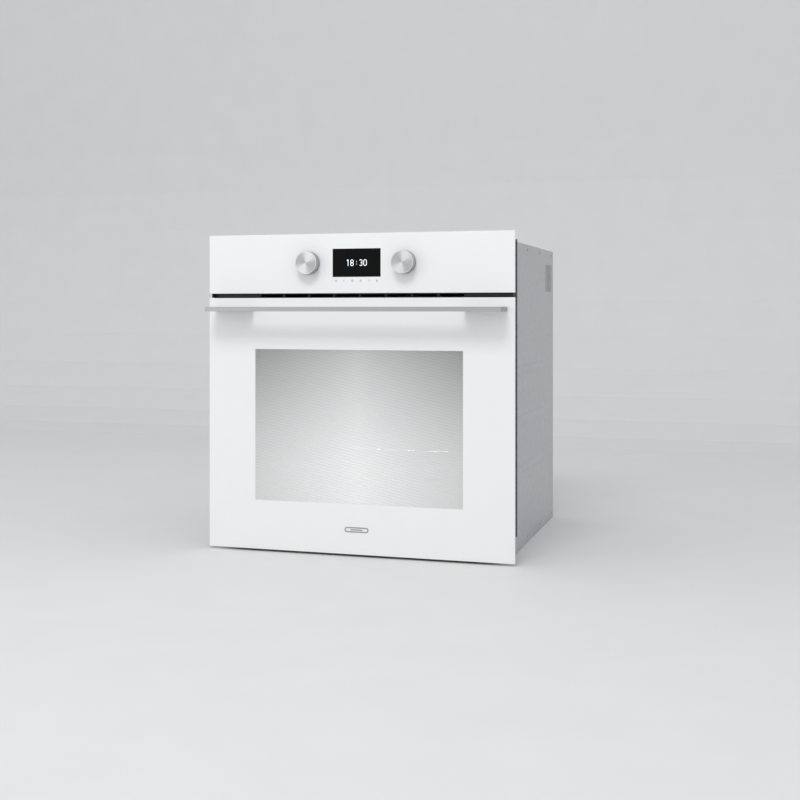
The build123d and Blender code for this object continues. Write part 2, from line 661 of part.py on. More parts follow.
with BuildPart() as grill_brackets:
    for sign in (-1, 1):
        slab(hand_span(sign, 36, 38), (grill_pivot_y - 7, cavity_rear), (grill_z - 7, cavity_roof))
        slab(hand_span(sign, 36, 48), (cavity_rear - 2, cavity_rear), (grill_z - 7, cavity_roof))
    eye = GRILL_PIVOT + 2 * RUNNING
    round_bar((-60, grill_pivot_y, grill_z), (60, grill_pivot_y, grill_z), eye, Mode.SUBTRACT)
    clip_x = 4 * lane
    for sign in (-1, 1):
        for side in (-1, 1):
            leaf = sign * clip_x + side * (ROD / 2 + 0.4)
            slab((leaf, leaf + side * 1), (grill_front + 40, grill_front + 52), (grill_z - 5, cavity_roof))
save(grill_brackets, "grill_brackets")

# ================================================================ racks, runners and shelf
rack_front = shelf_front + 8
rack_rear = fan_face - 12
post_x = rack_x + RACK_WIRE - 0.6
with BuildPart() as side_racks:
    for name, sign in HANDS:
        for y in (rack_front + RACK_POST_INSET, rack_rear - RACK_POST_INSET):
            round_bar((sign * post_x, y, level_z[0] - 20), (sign * post_x, y, level_z[-1] + 30), RACK_WIRE)
            for z in (level_z[0] - 14, level_z[-1] + 22):
                round_bar((sign * post_x, y, z), (sign * half_cavity, y, z), RACK_WIRE)
        for z in level_z:
            bent_rod(
                [
                    (sign * rack_x, rack_rear, z - RUNG_HALF),
                    (sign * rack_x, rack_front, z - RUNG_HALF),
                    (sign * rack_x, rack_front, z + RUNG_HALF),
                    (sign * rack_x, rack_rear, z + RUNG_HALF),
                ],
                RUNG_BEND,
                RACK_WIRE,
            )
save(side_racks, "side_racks")

runner_z = level_z[RUNNER_LEVEL]
rail_front = rack_front - 6
rail_low = runner_z - RAIL_HEIGHT_OUTER / 2
rail_high = runner_z + RAIL_HEIGHT_OUTER / 2


def channel(sign, outer_x, width, low, high, start, length):
    """Add a C-channel with its back on outer_x and its mouth towards the middle of the oven."""
    slab(hand_span(sign, outer_x - RAIL_SHEET, outer_x), (start, start + length), (low, high))
    slab(hand_span(sign, outer_x - width, outer_x), (start, start + length), (low, low + RAIL_SHEET))
    slab(hand_span(sign, outer_x - width, outer_x), (start, start + length), (high - RAIL_SHEET, high))


middle_x = rail_outer_x - RAIL_SHEET - RAIL_CLEAR
middle_low = rail_low + RAIL_SHEET + RAIL_CLEAR
middle_high = rail_high - RAIL_SHEET - RAIL_CLEAR
inner_x = middle_x - RAIL_SHEET - RAIL_CLEAR
inner_low = middle_low + RAIL_SHEET + RAIL_CLEAR
inner_high = middle_high - RAIL_SHEET - RAIL_CLEAR
inner_face = inner_x - 6.0
with BuildPart() as rails_outer:
    for name, sign in HANDS:
        channel(sign, rail_outer_x, RAIL_WIDTH, rail_low, rail_high, rail_front, RAIL_LENGTH)
save(rails_outer, "rails_outer")

with BuildPart() as rails_middle:
    for name, sign in HANDS:
        channel(sign, middle_x, RAIL_WIDTH - 1, middle_low, middle_high, rail_front, RAIL_LENGTH)
save(rails_middle, "rails_middle")

bracket_x = inner_face - RAIL_SHEET
shelf_seat = shelf_z - SHELF_BAR / 2
with BuildPart() as rails_inner:
    for name, sign in HANDS:
        rail_y = (rail_front, rail_front + RAIL_LENGTH)
        slab(hand_span(sign, inner_face, inner_x), rail_y, (inner_low, inner_high))
        for y in (rail_front + 12, rail_front + RAIL_LENGTH - 60):
            slab(hand_span(sign, bracket_x, inner_face), (y, y + 20), (shelf_seat - RAIL_SHEET, inner_high))
            seat_x = hand_span(sign, bracket_x - 6, inner_face)
            slab(seat_x, (y, y + 20), (shelf_seat - RAIL_SHEET, shelf_seat))
save(rails_inner, "rails_inner")

shelf_x = bracket_x - SHELF_BAR / 2
shelf_rear = shelf_front + SHELF_DEPTH
with BuildPart() as wire_shelf:
    for y in (shelf_front, shelf_rear):
        round_bar((-shelf_x, y, shelf_z), (shelf_x, y, shelf_z), SHELF_BAR)
    for x in (-shelf_x, shelf_x):
        round_bar((x, shelf_front, shelf_z), (x, shelf_rear, shelf_z), SHELF_BAR)
        for y in (shelf_front, shelf_rear):
            with Locations((x, y, shelf_z)):
                Sphere(SHELF_BAR / 2)
    wires = int(2 * shelf_x / SHELF_PITCH)
    for index in range(wires):
        x = (index - (wires - 1) / 2) * SHELF_PITCH
        wire_z = shelf_z - SHELF_BAR / 2
        round_bar((x, shelf_front, wire_z), (x, shelf_rear, wire_z), SHELF_WIRE)
    cross_y = (shelf_front + shelf_rear) / 2
    round_bar((-shelf_x, cross_y, shelf_z - 5.4), (shelf_x, cross_y, shelf_z - 5.4), SHELF_WIRE)
save(wire_shelf, "wire_shelf")

# ================================================================ control panel
with BuildPart() as control_glass:
    slab(both(half_front), (face_y, glass_back), (panel_base, front_top))
    chamfer(control_glass.edges().group_by(Axis.Y)[0], FRONT_EDGE)
    for x in both(KNOB_X):
        round_bar((x, face_y, knob_z), (x, glass_back, knob_z), BUSH_HOLE, Mode.SUBTRACT)
save(control_glass, "control_glass")

carrier_back = flange_front
with BuildPart() as panel_carrier:
    carrier_half = half_front - CARRIER_INSET
    carrier_low = panel_base + CARRIER_EDGE
    carrier_high = front_top - CARRIER_EDGE
    plate_back = glass_back + PLASTIC_WALL
    slab(both(carrier_half), (glass_back, carrier_back), (carrier_low, carrier_high))
    cut(
        both(carrier_half - PLASTIC_WALL),
        (plate_back, carrier_back),
        (carrier_low + PLASTIC_WALL, carrier_high - PLASTIC_WALL),
    )
    for x in both(KNOB_X):
        round_bar((x, glass_back, knob_z), (x, plate_back, knob_z), ENCODER_SIZE[1], Mode.SUBTRACT)
    display_top = display_z + DISPLAY_SIZE[1] / 2
    cut(both(DISPLAY_SIZE[0] / 2 + 4), (glass_back, plate_back), (panel_base + 10, display_top + 4))
save(panel_carrier, "panel_carrier")

with BuildPart() as display_module:
    with Locations((0, glass_back + DISPLAY_DEPTH / 2, display_z)):
        Box(DISPLAY_SIZE[0], DISPLAY_DEPTH, DISPLAY_SIZE[1])
    chamfer(display_module.edges().group_by(Axis.Y)[-1], 1.5)
    touch_top = display_z - DISPLAY_SIZE[1] / 2 - 1
    slab(both(DISPLAY_SIZE[0] / 2), (glass_back, glass_back + 1.6), (touch_top - TOUCH_STRIP, touch_top))
save(display_module, "display_module")

knob_r = KNOB_DIAMETER / 2
knob_front = face_y - KNOB_PROUD
knob_back = face_y - KNOB_CLEAR
with BuildPart() as encoders:
    for name, sign in HANDS:
        axis_x = sign * KNOB_X
        with Locations((axis_x, plate_back + ENCODER_DEPTH / 2, knob_z)):
            Box(ENCODER_SIZE[0], ENCODER_DEPTH, ENCODER_SIZE[1])
        slab((axis_x - 14, axis_x + 14), (plate_back, plate_back + BOARD), (knob_z - 13, knob_z + 13))
        round_bar((axis_x, face_y, knob_z), (axis_x, plate_back, knob_z), BUSH)
        bore_end = plate_back + ENCODER_DEPTH - 1
        round_bar((axis_x, face_y, knob_z), (axis_x, bore_end, knob_z), SHAFT + 2 * RUNNING, Mode.SUBTRACT)
save(encoders, "encoders")

for name, sign in HANDS:
    axis_x = sign * KNOB_X
    with BuildPart() as encoder_shaft:
        round_bar((axis_x, face_y - SHAFT_PROUD, knob_z), (axis_x, bore_end - 0.5, knob_z), SHAFT)
    save(encoder_shaft, f"encoder_shaft_{name}")
    with BuildPart() as knob:
        with BuildSketch(Plane.XY.offset(knob_z)):
            with BuildLine():
                Polyline(
                    (axis_x + SHAFT / 2, knob_back),
                    (axis_x + SHAFT / 2, face_y - SHAFT_PROUD),
                    (axis_x, face_y - SHAFT_PROUD),
                    (axis_x, knob_front),
                    (axis_x + knob_r - KNOB_TAPER - KNOB_CHAMFER, knob_front),
                    (axis_x + knob_r - KNOB_TAPER, knob_front + KNOB_CHAMFER),
                    (axis_x + knob_r, knob_back),
                    (axis_x + knob_r - KNOB_WALL, knob_back),
                    (axis_x + knob_r - KNOB_WALL, knob_back - KNOB_HOLLOW),
                    (axis_x + SHAFT, knob_back - KNOB_HOLLOW),
                    (axis_x + SHAFT, knob_back),
                    close=True,
                )
            make_face()
        revolve(axis=Axis((axis_x, 0, knob_z), (0, 1, 0)))
    save(knob, f"knob_{name}")

with BuildPart() as vent_strip:
    vent_y = face_y + VENT_RECESS
    strip_half = joggle_x - FRAME_SHEET
    slab(both(strip_half), (vent_y, frame_y), (duct_floor, panel_base))
    cut(
        both(strip_half - VENT_WALL),
        (vent_y + VENT_WALL, frame_y),
        (duct_floor + VENT_WING_WALL, panel_base - VENT_WING_WALL),
    )
    wing_x = half_front - VENT_WING_INSET
    for name, sign in HANDS:
        wing = hand_span(sign, strip_half - VENT_WALL, wing_x)
        slab(wing, (vent_y, flange_front), (duct_floor, panel_base))
        slab(
            hand_span(sign, wing_x - VENT_WING_WALL, wing_x),
            (face_y + VENT_WING_START, flange_front),
            (door_top + 1, panel_base),
        )
    with BuildSketch(at_depth(vent_y)):
        with Locations((0, door_top + PANEL_GAP / 2)):
            with GridLocations(VENT_SPAN / VENT_SLOTS, 0, VENT_SLOTS, 1):
                Rectangle(VENT_SPAN / VENT_SLOTS - VENT_RIB, VENT_SLOT_HEIGHT)
    extrude(amount=-VENT_WALL, mode=Mode.SUBTRACT)
save(vent_strip, "vent_strip")

# ================================================================ electronics and mains
board_x = half_case - SHEET - BOARD_STANDOFF
board_low = duct_roof + 12
board_high = case_top - SHEET - 10
with BuildPart() as control_board:
    board_y = frame_back + 20
    slab((board_x - BOARD, board_x), (board_y, board_y + BOARD_LENGTH), (board_low, board_high))
    for y in (board_y + 6, board_y + BOARD_LENGTH - 6):
        for z in (board_low + 6, board_high - 6):
            round_bar((board_x, y, z), (half_case - SHEET, y, z), 6)
    for y, z, length, rise, depth in BOARD_PARTS:
        slab(
            (board_x - BOARD - depth, board_x - BOARD),
            (frame_back + y, frame_back + y + length),
            (board_low + z, board_low + z + rise),
        )
save(control_board, "control_board")

with BuildPart() as terminal_box:
    span_x = (terminal_x - TERMINAL_WIDTH / 2, terminal_x + TERMINAL_WIDTH / 2)
    span_z = (terminal_z - TERMINAL_HEIGHT / 2, terminal_z + TERMINAL_HEIGHT / 2)
    slab(span_x, (rear_y - TERMINAL_DEPTH, rear_y - COVER_SHEET), span_z)
    cut(
        (span_x[0] + 2, span_x[1] - 2),
        (rear_y - TERMINAL_DEPTH + 2, rear_y - COVER_SHEET),
        (span_z[0] + 2, span_z[1] - 2),
    )
save(terminal_box, "terminal_box")

gland_x = span_x[1] - GLAND_INSET
gland_z = span_z[0] + GLAND_INSET
gland_neck = 2 * GLAND_BORE + 6
gland_front = rear_y - GLAND_LENGTH
with BuildPart() as terminal_cover:
    slab(span_x, (rear_y - COVER_SHEET, rear_y), span_z)
    cover_y = rear_y - COVER_SHEET
    round_bar((gland_x, cover_y, gland_z), (gland_x, rear_y, gland_z), gland_neck, Mode.SUBTRACT)
save(terminal_cover, "terminal_cover")

with BuildPart() as cable_gland:
    round_bar((gland_x, gland_front, gland_z), (gland_x, rear_y, gland_z), gland_neck)
    round_bar((gland_x, gland_front, gland_z), (gland_x, cover_y, gland_z), gland_neck + 6)
    round_bar((gland_x, gland_front, gland_z), (gland_x, rear_y, gland_z), 2 * GLAND_BORE, Mode.SUBTRACT)
save(cable_gland, "cable_gland")

with BuildPart() as terminal_block:
    block_x = span_x[0] + 10
    block_z = (span_z[0] + 14, span_z[1] - 14)
    slab((block_x, block_x + BLOCK_LENGTH), (rear_y - TERMINAL_DEPTH + 2, rear_y - 20), block_z)
    for index in range(BLOCK_WAYS):
        x = block_x + (index + 0.5) * BLOCK_LENGTH / BLOCK_WAYS
        round_bar((x, rear_y - 26, terminal_z), (x, rear_y - 20, terminal_z), 6, Mode.SUBTRACT)
save(terminal_block, "terminal_block")

with BuildPart() as door_switch_body:
    with Locations((switch_x, frame_back + SWITCH_SIZE, switch_z)):
        Box(SWITCH_SIZE, 2 * SWITCH_SIZE, SWITCH_SIZE)
    bore_end = (switch_x, frame_back + SWITCH_SIZE, switch_z)
    round_bar((switch_x, frame_back, switch_z), bore_end, PLUNGER_BORE, Mode.SUBTRACT)
save(door_switch_body, "door_switch_body")

with BuildPart() as door_switch_plunger:
    round_bar((switch_x, pane_back + 0.2, switch_z), (switch_x, frame_back + 10, switch_z), PLUNGER)
    fillet(door_switch_plunger.edges().group_by(Axis.Y)[0], 1.5)
save(door_switch_plunger, "door_switch_plunger")

# ================================================================ door
pane_low = front_base + INNER_PANE_RAISE
pane_high = door_top - INNER_PANE_DROP
with BuildPart() as door_glass_outer:
    slab(both(half_front), (face_y, glass_back), (front_base, door_top))
    chamfer(door_glass_outer.edges().group_by(Axis.Y)[0], FRONT_EDGE)
save(door_glass_outer, "door_glass_outer")

with BuildPart() as door_glass_inner:
    slab(both(stile_out), (stile_back, pane_back), (pane_low, pane_high))
    chamfer(door_glass_inner.edges().group_by(Axis.Y)[-1], FRONT_EDGE)
save(door_glass_inner, "door_glass_inner")

middle_front = face_y + MIDDLE_PANE_DEPTH
middle_half = stile_in - MIDDLE_PANE_EDGE
rail_base = pane_high - RAIL_HEIGHT
with BuildPart() as door_glass_middle:
    slab(both(middle_half), (middle_front, middle_front + GLASS), (pane_low + 4, rail_base - 4))
save(door_glass_middle, "door_glass_middle")

with BuildPart() as glass_spacers:
    for sign in (-1, 1):
        for z in (pane_low + 30, rail_base - 50):
            clip_y = (middle_front - 4, middle_front + GLASS + 4)
            slab(hand_span(sign, middle_half - 7, stile_in), clip_y, (z, z + SPACER_LENGTH))
    cut(both(middle_half), (middle_front, middle_front + GLASS), (front_base, door_top))
save(glass_spacers, "glass_spacers")

case_low = front_base + KICK_RAISE
arm_gap_z = pivot_z + ARM_GAP
with BuildPart() as door_stiles:
    for name, sign in HANDS:
        slab(hand_span(sign, stile_in, stile_out), (glass_back, stile_back), (case_low, pane_high))
        cut(
            hand_span(sign, stile_in + STILE_WALL, stile_out - STILE_WALL),
            (glass_back, stile_back - STILE_WALL),
            (case_low, pane_high - STILE_WALL),
        )
        hollow_x = hand_span(sign, stile_in + STILE_WALL, stile_out - STILE_WALL)
        cut(hollow_x, (glass_back, stile_back), (case_low, arm_gap_z))
        pin_start = (sign * stile_in, pivot_y, pivot_z)
        round_bar(pin_start, (sign * stile_out, pivot_y, pivot_z), PIVOT_PIN, Mode.SUBTRACT)
save(door_stiles, "door_stiles")

with BuildPart() as door_rails:
    slab(both(stile_in), (glass_back, stile_back), (rail_base, pane_high))
    cut(both(stile_in), (glass_back + RAIL_WALL, stile_back - RAIL_WALL), (rail_base, pane_high - RAIL_WALL))
    slab(both(stile_in), (glass_back, stile_back), (case_low, pane_low))
    cut(both(stile_in), (glass_back + RAIL_WALL, stile_back - RAIL_WALL), (case_low + RAIL_WALL, pane_low))
save(door_rails, "door_rails")

handle_z = door_top - HANDLE_DROP
bar_front = face_y - HANDLE_PROUD
bar_low = handle_z - HANDLE_THICKNESS / 2
bar_high = handle_z + HANDLE_THICKNESS / 2
post_half = HANDLE_LENGTH / 2
with BuildPart() as handle_bar:
    slab(both(post_half), (bar_front, bar_front + HANDLE_BAR_DEPTH), (bar_low, bar_high))
    fillet(handle_bar.edges().filter_by(Axis.Z), ROUNDING)
    chamfer(handle_bar.faces().sort_by(Axis.Y)[0].edges(), 0.35)
save(handle_bar, "handle_bar")

post_x = post_half - HANDLE_POST_LENGTH / 2
with BuildPart() as handle_posts:
    for sign in (-1, 1):
        slab(
            hand_span(sign, post_half - HANDLE_POST_LENGTH, post_half),
            (bar_front + HANDLE_BAR_DEPTH, face_y),
            (bar_low, bar_high),
        )
    fillet(handle_posts.edges().filter_by(Axis.Z), ROUNDING)
save(handle_posts, "handle_posts")

# ================================================================ hinges
case_in = hinge_x - STILE_WIDTH / 2 + STILE_WALL + 0.5
case_out = hinge_x + STILE_WIDTH / 2 - STILE_WALL - 0.5
case_front = face_y + 6.0
case_back = stile_back - STILE_WALL - 0.5
case_top_z = case_low + HINGE_CASE_LENGTH
rod_y = pivot_y + ROD_OFFSET
cam_pin_z = pivot_z + ROD_START
stop_z = cam_pin_z + STOP_RISE
spring_low = stop_z + STOP_PLATE
spring_high = case_top_z - 36
cam_ratio = ROD_TRAVEL / DOOR_SWING


def cam_point(angle):
    """Where the cam pin stands on the fixed arm when the door has opened by the angle."""
    reach = ROD_START - cam_ratio * angle
    y = pivot_y + ROD_OFFSET * cos(angle) - reach * sin(angle)
    z = pivot_z + ROD_OFFSET * sin(angle) + reach * cos(angle)
    return (y, z)


cam_track = [cam_point(DOOR_SWING * step / 8) for step in range(9)]
slot_width = CAM_PIN + 2 * CAM_CLEAR
with BuildPart() as hinge_arms:
    for name, sign in HANDS:
        centre_x = sign * hinge_x
        arm_plane = Plane.YZ.offset(centre_x - ARM_THICKNESS / 2)
        with BuildSketch(arm_plane):
            with Locations((pivot_y, pivot_z)):
                Circle(6)
            with BuildLine():
                Spline(*cam_track)
            trace(line_width=slot_width + 2 * CAM_WALL)
            with Locations(cam_track[0], cam_track[-1]):
                Circle(slot_width / 2 + CAM_WALL)
            with BuildLine():
                Polyline((pivot_y, pivot_z), *cam_track, close=True)
            make_face()
            with BuildLine():
                Polyline(
                    (pivot_y, pivot_z - ARM_DROP + 1),
                    (pivot_y + 6, pivot_z - ARM_DROP),
                    (frame_back + RECEIVER_LENGTH - 4, pivot_z - ARM_DROP),
                    (frame_back + RECEIVER_LENGTH - 4, pivot_z - ARM_DROP + ARM_HEIGHT),
                    (pivot_y, pivot_z - ARM_DROP + ARM_HEIGHT),
                    close=True,
                )
            make_face()
        extrude(amount=ARM_THICKNESS)
        with BuildSketch(arm_plane):
            with BuildLine():
                Spline(*cam_track)
            trace(line_width=slot_width)
            with Locations(cam_track[0], cam_track[-1]):
                Circle(slot_width / 2)
        extrude(amount=ARM_THICKNESS, mode=Mode.SUBTRACT)
        with BuildSketch(arm_plane):
            with Locations((pivot_y, pivot_z)):
                Circle(PIVOT_PIN / 2 + RUNNING)
        extrude(amount=ARM_THICKNESS, mode=Mode.SUBTRACT)
save(hinge_arms, "hinge_arms")

with BuildPart() as hinge_receivers:
    for name, sign in HANDS:
        centre_x = sign * hinge_x
        seat_z = pivot_z - ARM_DROP
        roof_z = seat_z + ARM_HEIGHT
        for side in (-1, 1):
            near = centre_x + side * ARM_THICKNESS / 2
            wall = (near, near + side * RECEIVER_SHEET)
            lip = (near, near + side * RECEIVER_FLANGE)
            slab(wall, (frame_back, frame_back + RECEIVER_LENGTH), (seat_z - RECEIVER_SHEET, roof_z + 5))
            slab(lip, (frame_back, frame_back + RECEIVER_SHEET), (roof_z + 1, roof_z + 1 + RECEIVER_FLANGE))
        slab(
            (centre_x - ARM_THICKNESS / 2, centre_x + ARM_THICKNESS / 2),
            (frame_back, frame_back + RECEIVER_LENGTH),
            (seat_z - RECEIVER_SHEET, seat_z),
        )
        hook_y = frame_back + 12
        round_bar((centre_x - 4, hook_y, roof_z + 2), (centre_x + 4, hook_y, roof_z + 2), 4)
save(hinge_receivers, "hinge_receivers")

with BuildPart() as hinge_cases:
    for name, sign in HANDS:
        centre_x = sign * hinge_x
        for low, high in ((case_in, case_in + HINGE_CASE_SHEET), (case_out - HINGE_CASE_SHEET, case_out)):
            slab(hand_span(sign, low, high), (case_front + 1, case_back), (case_low, case_top_z))
        inside_x = hand_span(sign, case_in, case_out)
        slab(inside_x, (case_front, case_front + HINGE_CASE_SHEET), (stop_z, case_top_z))
        slab(inside_x, (case_front, case_back), (case_top_z - HINGE_CASE_SHEET, case_top_z))
        slab(inside_x, (case_front, case_back), (stop_z, spring_low))
        round_bar((centre_x, rod_y, stop_z), (centre_x, rod_y, spring_low), SPRING_ROD + 0.4, Mode.SUBTRACT)
        pin_end = (inside_x[1], pivot_y, pivot_z)
        round_bar((inside_x[0], pivot_y, pivot_z), pin_end, PIVOT_PIN, Mode.SUBTRACT)
save(hinge_cases, "hinge_cases")

with BuildPart() as hinge_pins:
    for name, sign in HANDS:
        round_bar((sign * stile_in, pivot_y, pivot_z), (sign * stile_out, pivot_y, pivot_z), PIVOT_PIN)
save(hinge_pins, "hinge_pins")

with BuildPart() as spring_rods:
    bridge_z = cam_pin_z + BRIDGE_START
    fork_y = (rod_y - FORK_HALF, rod_y + FORK_HALF)
    fork_x = ARM_THICKNESS / 2 + FORK_PLAY + FORK_SHEET
    for name, sign in HANDS:
        centre_x = sign * hinge_x
        round_bar((centre_x, rod_y, bridge_z), (centre_x, rod_y, spring_high + 10), SPRING_ROD)
        round_bar((centre_x, rod_y, spring_high), (centre_x, rod_y, spring_high + 4), SPRING_DIAMETER)
        for side in (-1, 1):
            leaf = (centre_x + side * (fork_x - FORK_SHEET), centre_x + side * fork_x)
            slab(leaf, fork_y, (cam_pin_z - FORK_HALF, cam_pin_z + FORK_HEIGHT))
        slab((centre_x - fork_x, centre_x + fork_x), fork_y, (bridge_z, cam_pin_z + FORK_HEIGHT))
        round_bar((centre_x - fork_x, rod_y, cam_pin_z), (centre_x + fork_x, rod_y, cam_pin_z), CAM_PIN)
save(spring_rods, "spring_rods")

with BuildPart() as hinge_springs:
    for name, sign in HANDS:
        centre_x = sign * hinge_x
        coil_r = (SPRING_DIAMETER - SPRING_WIRE) / 2
        free_height = spring_high - spring_low - SPRING_WIRE
        with BuildLine() as coil:
            Helix(
                free_height / SPRING_TURNS,
                free_height,
                coil_r,
                center=(centre_x, rod_y, spring_low + SPRING_WIRE / 2),
            )
        with BuildSketch(Plane(origin=coil.line @ 0, z_dir=coil.line % 0)):
            Circle(SPRING_WIRE / 2)
        sweep(path=coil.line, is_frenet=True)
save(hinge_springs, "hinge_springs")
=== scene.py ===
import json
from math import cos, pi, radians, sin

import bmesh
import bpy
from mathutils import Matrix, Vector


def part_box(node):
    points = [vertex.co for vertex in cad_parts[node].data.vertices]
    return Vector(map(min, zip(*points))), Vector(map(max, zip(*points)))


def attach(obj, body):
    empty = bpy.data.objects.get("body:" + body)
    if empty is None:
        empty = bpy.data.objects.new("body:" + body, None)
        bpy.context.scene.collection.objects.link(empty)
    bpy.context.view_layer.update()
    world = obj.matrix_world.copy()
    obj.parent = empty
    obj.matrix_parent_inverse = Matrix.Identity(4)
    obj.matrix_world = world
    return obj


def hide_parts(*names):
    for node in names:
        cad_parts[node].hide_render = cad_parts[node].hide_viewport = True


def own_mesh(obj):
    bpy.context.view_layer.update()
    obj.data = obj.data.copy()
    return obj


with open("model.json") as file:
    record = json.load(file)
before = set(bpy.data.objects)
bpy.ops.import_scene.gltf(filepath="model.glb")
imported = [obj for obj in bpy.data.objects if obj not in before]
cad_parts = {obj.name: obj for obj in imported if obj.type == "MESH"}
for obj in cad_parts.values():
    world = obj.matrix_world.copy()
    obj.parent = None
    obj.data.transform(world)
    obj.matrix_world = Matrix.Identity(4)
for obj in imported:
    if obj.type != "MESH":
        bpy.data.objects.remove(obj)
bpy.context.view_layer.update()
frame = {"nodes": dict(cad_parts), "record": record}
NODES = frame["nodes"]
MM = 0.001

# ------------------------------------------------------------------ places read from the frame
door_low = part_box("door_glass_outer")[0]
panel_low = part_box("control_glass")[0]
handle_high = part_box("handle_bar")[1]
side_low, side_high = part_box("side_panels")
rear_low, rear_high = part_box("rear_panel")
top_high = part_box("top_cover")[1]
screw_low, screw_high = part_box("casing_screws")
cavity_low, cavity_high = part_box("cavity_shell")
fan_low, fan_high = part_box("fan_cover")
face_y = door_low[1]

# ------------------------------------------------------------------ the door's window
WINDOW_HALF = 202.5 * MM
WINDOW_BASE = door_low[2] + 93 * MM
WINDOW_TOP = door_low[2] + 379 * MM
BORDER_GAP = 9 * MM  # from the window to the dark border of the inner pane
DOT_PITCH = 2.2 * MM
HOLE_LEVEL = 0.30  # how high the dot wave stands where a hole begins
HOLE_CLEAR = 0.7
WEAVE_SLOPE = 0.22
WEAVE_PITCH = 5.5 * MM
WEAVE_DEPTH = 0.045
# Painted shade that darkens the window towards its sides.
WINDOW_PAINTED_EDGE_SHADE = 0.24
# Painted light on the window: its tone at shares of its height, a painted reflection lighter at the foot
# and painted shade darker at the top.
WINDOW_PAINTED_LIGHT_TONES = ((0.0, 1.0), (0.23, 0.99), (0.43, 0.92), (0.63, 0.82), (0.95, 0.64), (1.0, 0.61))

# ------------------------------------------------------------------ knobs, handle and prints
# The knob face's rim, where a painted highlight ring runs.
KNOB_RIM = 1.2 * MM
# Beyond this depth the knob's side wall is painted darker, as painted shade.
KNOB_FACE_DEPTH = 1.1 * MM
PAINTED_HIGHLIGHT_TURN = -0.26  # radians, the turn of the painted highlight fans on the knob faces
# Depth of the painted shade on the handle's end faces.
PAINTED_END_SHADE_DEPTH = 0.6 * MM
PRINT_LIFT = 0.12 * MM
DISPLAY_HALF = 46.9 * MM
DISPLAY_BASE = panel_low[2] + 30.0 * MM
DISPLAY_TOP = panel_low[2] + 82.8 * MM
DIGIT_PITCH = 8.4 * MM
DIGIT_HALF = 6 * MM
DIGIT_BOWL = 2.7 * MM
DIGIT_LINE = 0.85 * MM
SYMBOL_HEIGHT = panel_low[2] + 23 * MM
SYMBOL_PITCH = 16 * MM
SYMBOL_SIZE = 4 * MM
SYMBOL_LINE = 0.6 * MM
MARK_HEIGHT = door_low[2] + 45.7 * MM
MARK_SIZE = (47 * MM, 10 * MM)
MARK_LINE = 2.4 * MM

# ------------------------------------------------------------------ pressings, screws and springs
# Radius and rise of each domed form.
BEAD = (9 * MM, 1.5 * MM)
SPOT_WELD = (2.6 * MM, 0.35 * MM)
SHEET_SCREW = (3.6 * MM, 1.5 * MM)
FAN_SCREW = (4 * MM, 1.8 * MM)
FLOOR_BEAD = (7 * MM, 1.4 * MM)
# Length, breadth and thickness of a recess bar; the bars are dark, painted shade standing for the screws'
# cross recesses.
SHEET_CROSS = (3.4 * MM, 0.8 * MM, 0.3 * MM)
FAN_CROSS = (4 * MM, 0.9 * MM, 0.3 * MM)
CASING_CROSS = (5.0 * MM, 1.1 * MM, 0.3 * MM)
CROSS_SINK = 0.08 * MM
BEAD_PITCH = 95 * MM
SIDE_BEAD_MIDDLE = 0.46  # share of the side's depth, as the next one
SIDE_BEAD_LENGTH = 0.62
SIDE_BEAD_BASE = 150 * MM
REAR_BEAD_BASE = 90 * MM
REAR_BEAD_LENGTH = 330 * MM
TOP_BEAD_START = (-90 * MM, -150 * MM)
TOP_BEAD_PITCH = 75 * MM
TOP_BEAD_LENGTH = 290 * MM
FLOOR_BEAD_START = 70 * MM
FLOOR_BEAD_PITCH = 62 * MM
FLOOR_BEAD_LENGTH = 300 * MM
WELD_COUNT = 9
WELD_INSET = 8 * MM
WELD_LOW_END = 60 * MM
WELD_HIGH_END = 30 * MM
SIDE_SCREW_COUNT = 4
SIDE_SCREW_FRONT = 60 * MM
SIDE_SCREW_REAR = 30 * MM
SIDE_SCREW_LOW = 12 * MM
SIDE_SCREW_HIGH = 9 * MM
REAR_SCREW_COUNT = 5
REAR_SCREW_PITCH = 124 * MM
REAR_SCREW_INSET = (40 * MM, 8 * MM)
CASING_SCREW_INSET = 4 * MM
FAN_SCREW_INSET = 12 * MM
SHEET = 1 * MM
SPRING_WIRE = 1.8 * MM
SPRING_TURNS = 16.0
FACING_FRONT_OR_BACK = (pi / 2, 0, 0)
FACING_UP = (0, 0, 0)


# ------------------------------------------------------------------ shader helpers
def node(tree, kind, inputs=None, **settings):
    """A shader node with its settings and its unlinked inputs filled in."""
    made = tree.nodes.new(kind)
    for key, value in settings.items():
        setattr(made, key, value)
    for key, value in (inputs or {}).items():
        made.inputs[key].default_value = value
    return made


def join(tree, source, target):
    """Links an output socket to an input socket."""
    tree.links.new(source, target)


def maths(tree, operation, first, second=None, clamp=False):
    """One sum; a first or second value is a socket or a number."""
    made = node(tree, "ShaderNodeMath", operation=operation, use_clamp=clamp)
    for index, value in enumerate((first, second)):
        if value is None:
            continue
        if isinstance(value, (int, float)):
            made.inputs[index].default_value = value
        else:
            join(tree, value, made.inputs[index])
    return made.outputs[0]


def graded(tree, value, amount, start):
    """The value times an amount, plus a start."""
    return maths(tree, "ADD", maths(tree, "MULTIPLY", value, amount), start)


def wave(tree, value, pitch):
    """A sine along the value, one turn in each pitch."""
    return maths(tree, "SINE", maths(tree, "MULTIPLY", value, 2 * pi / pitch))


def ramp(tree, source, stops):
    """A colour ramp with (place, grey) stops."""
    made = node(tree, "ShaderNodeValToRGB")
    band = made.color_ramp
    while len(band.elements) < len(stops):
        band.elements.new(0.5)
    for element, (place, tone) in zip(band.elements, stops):
        element.position = place
        element.color = (tone, tone, tone, 1)
    join(tree, source, made.inputs["Fac"])
    return made.outputs["Color"]


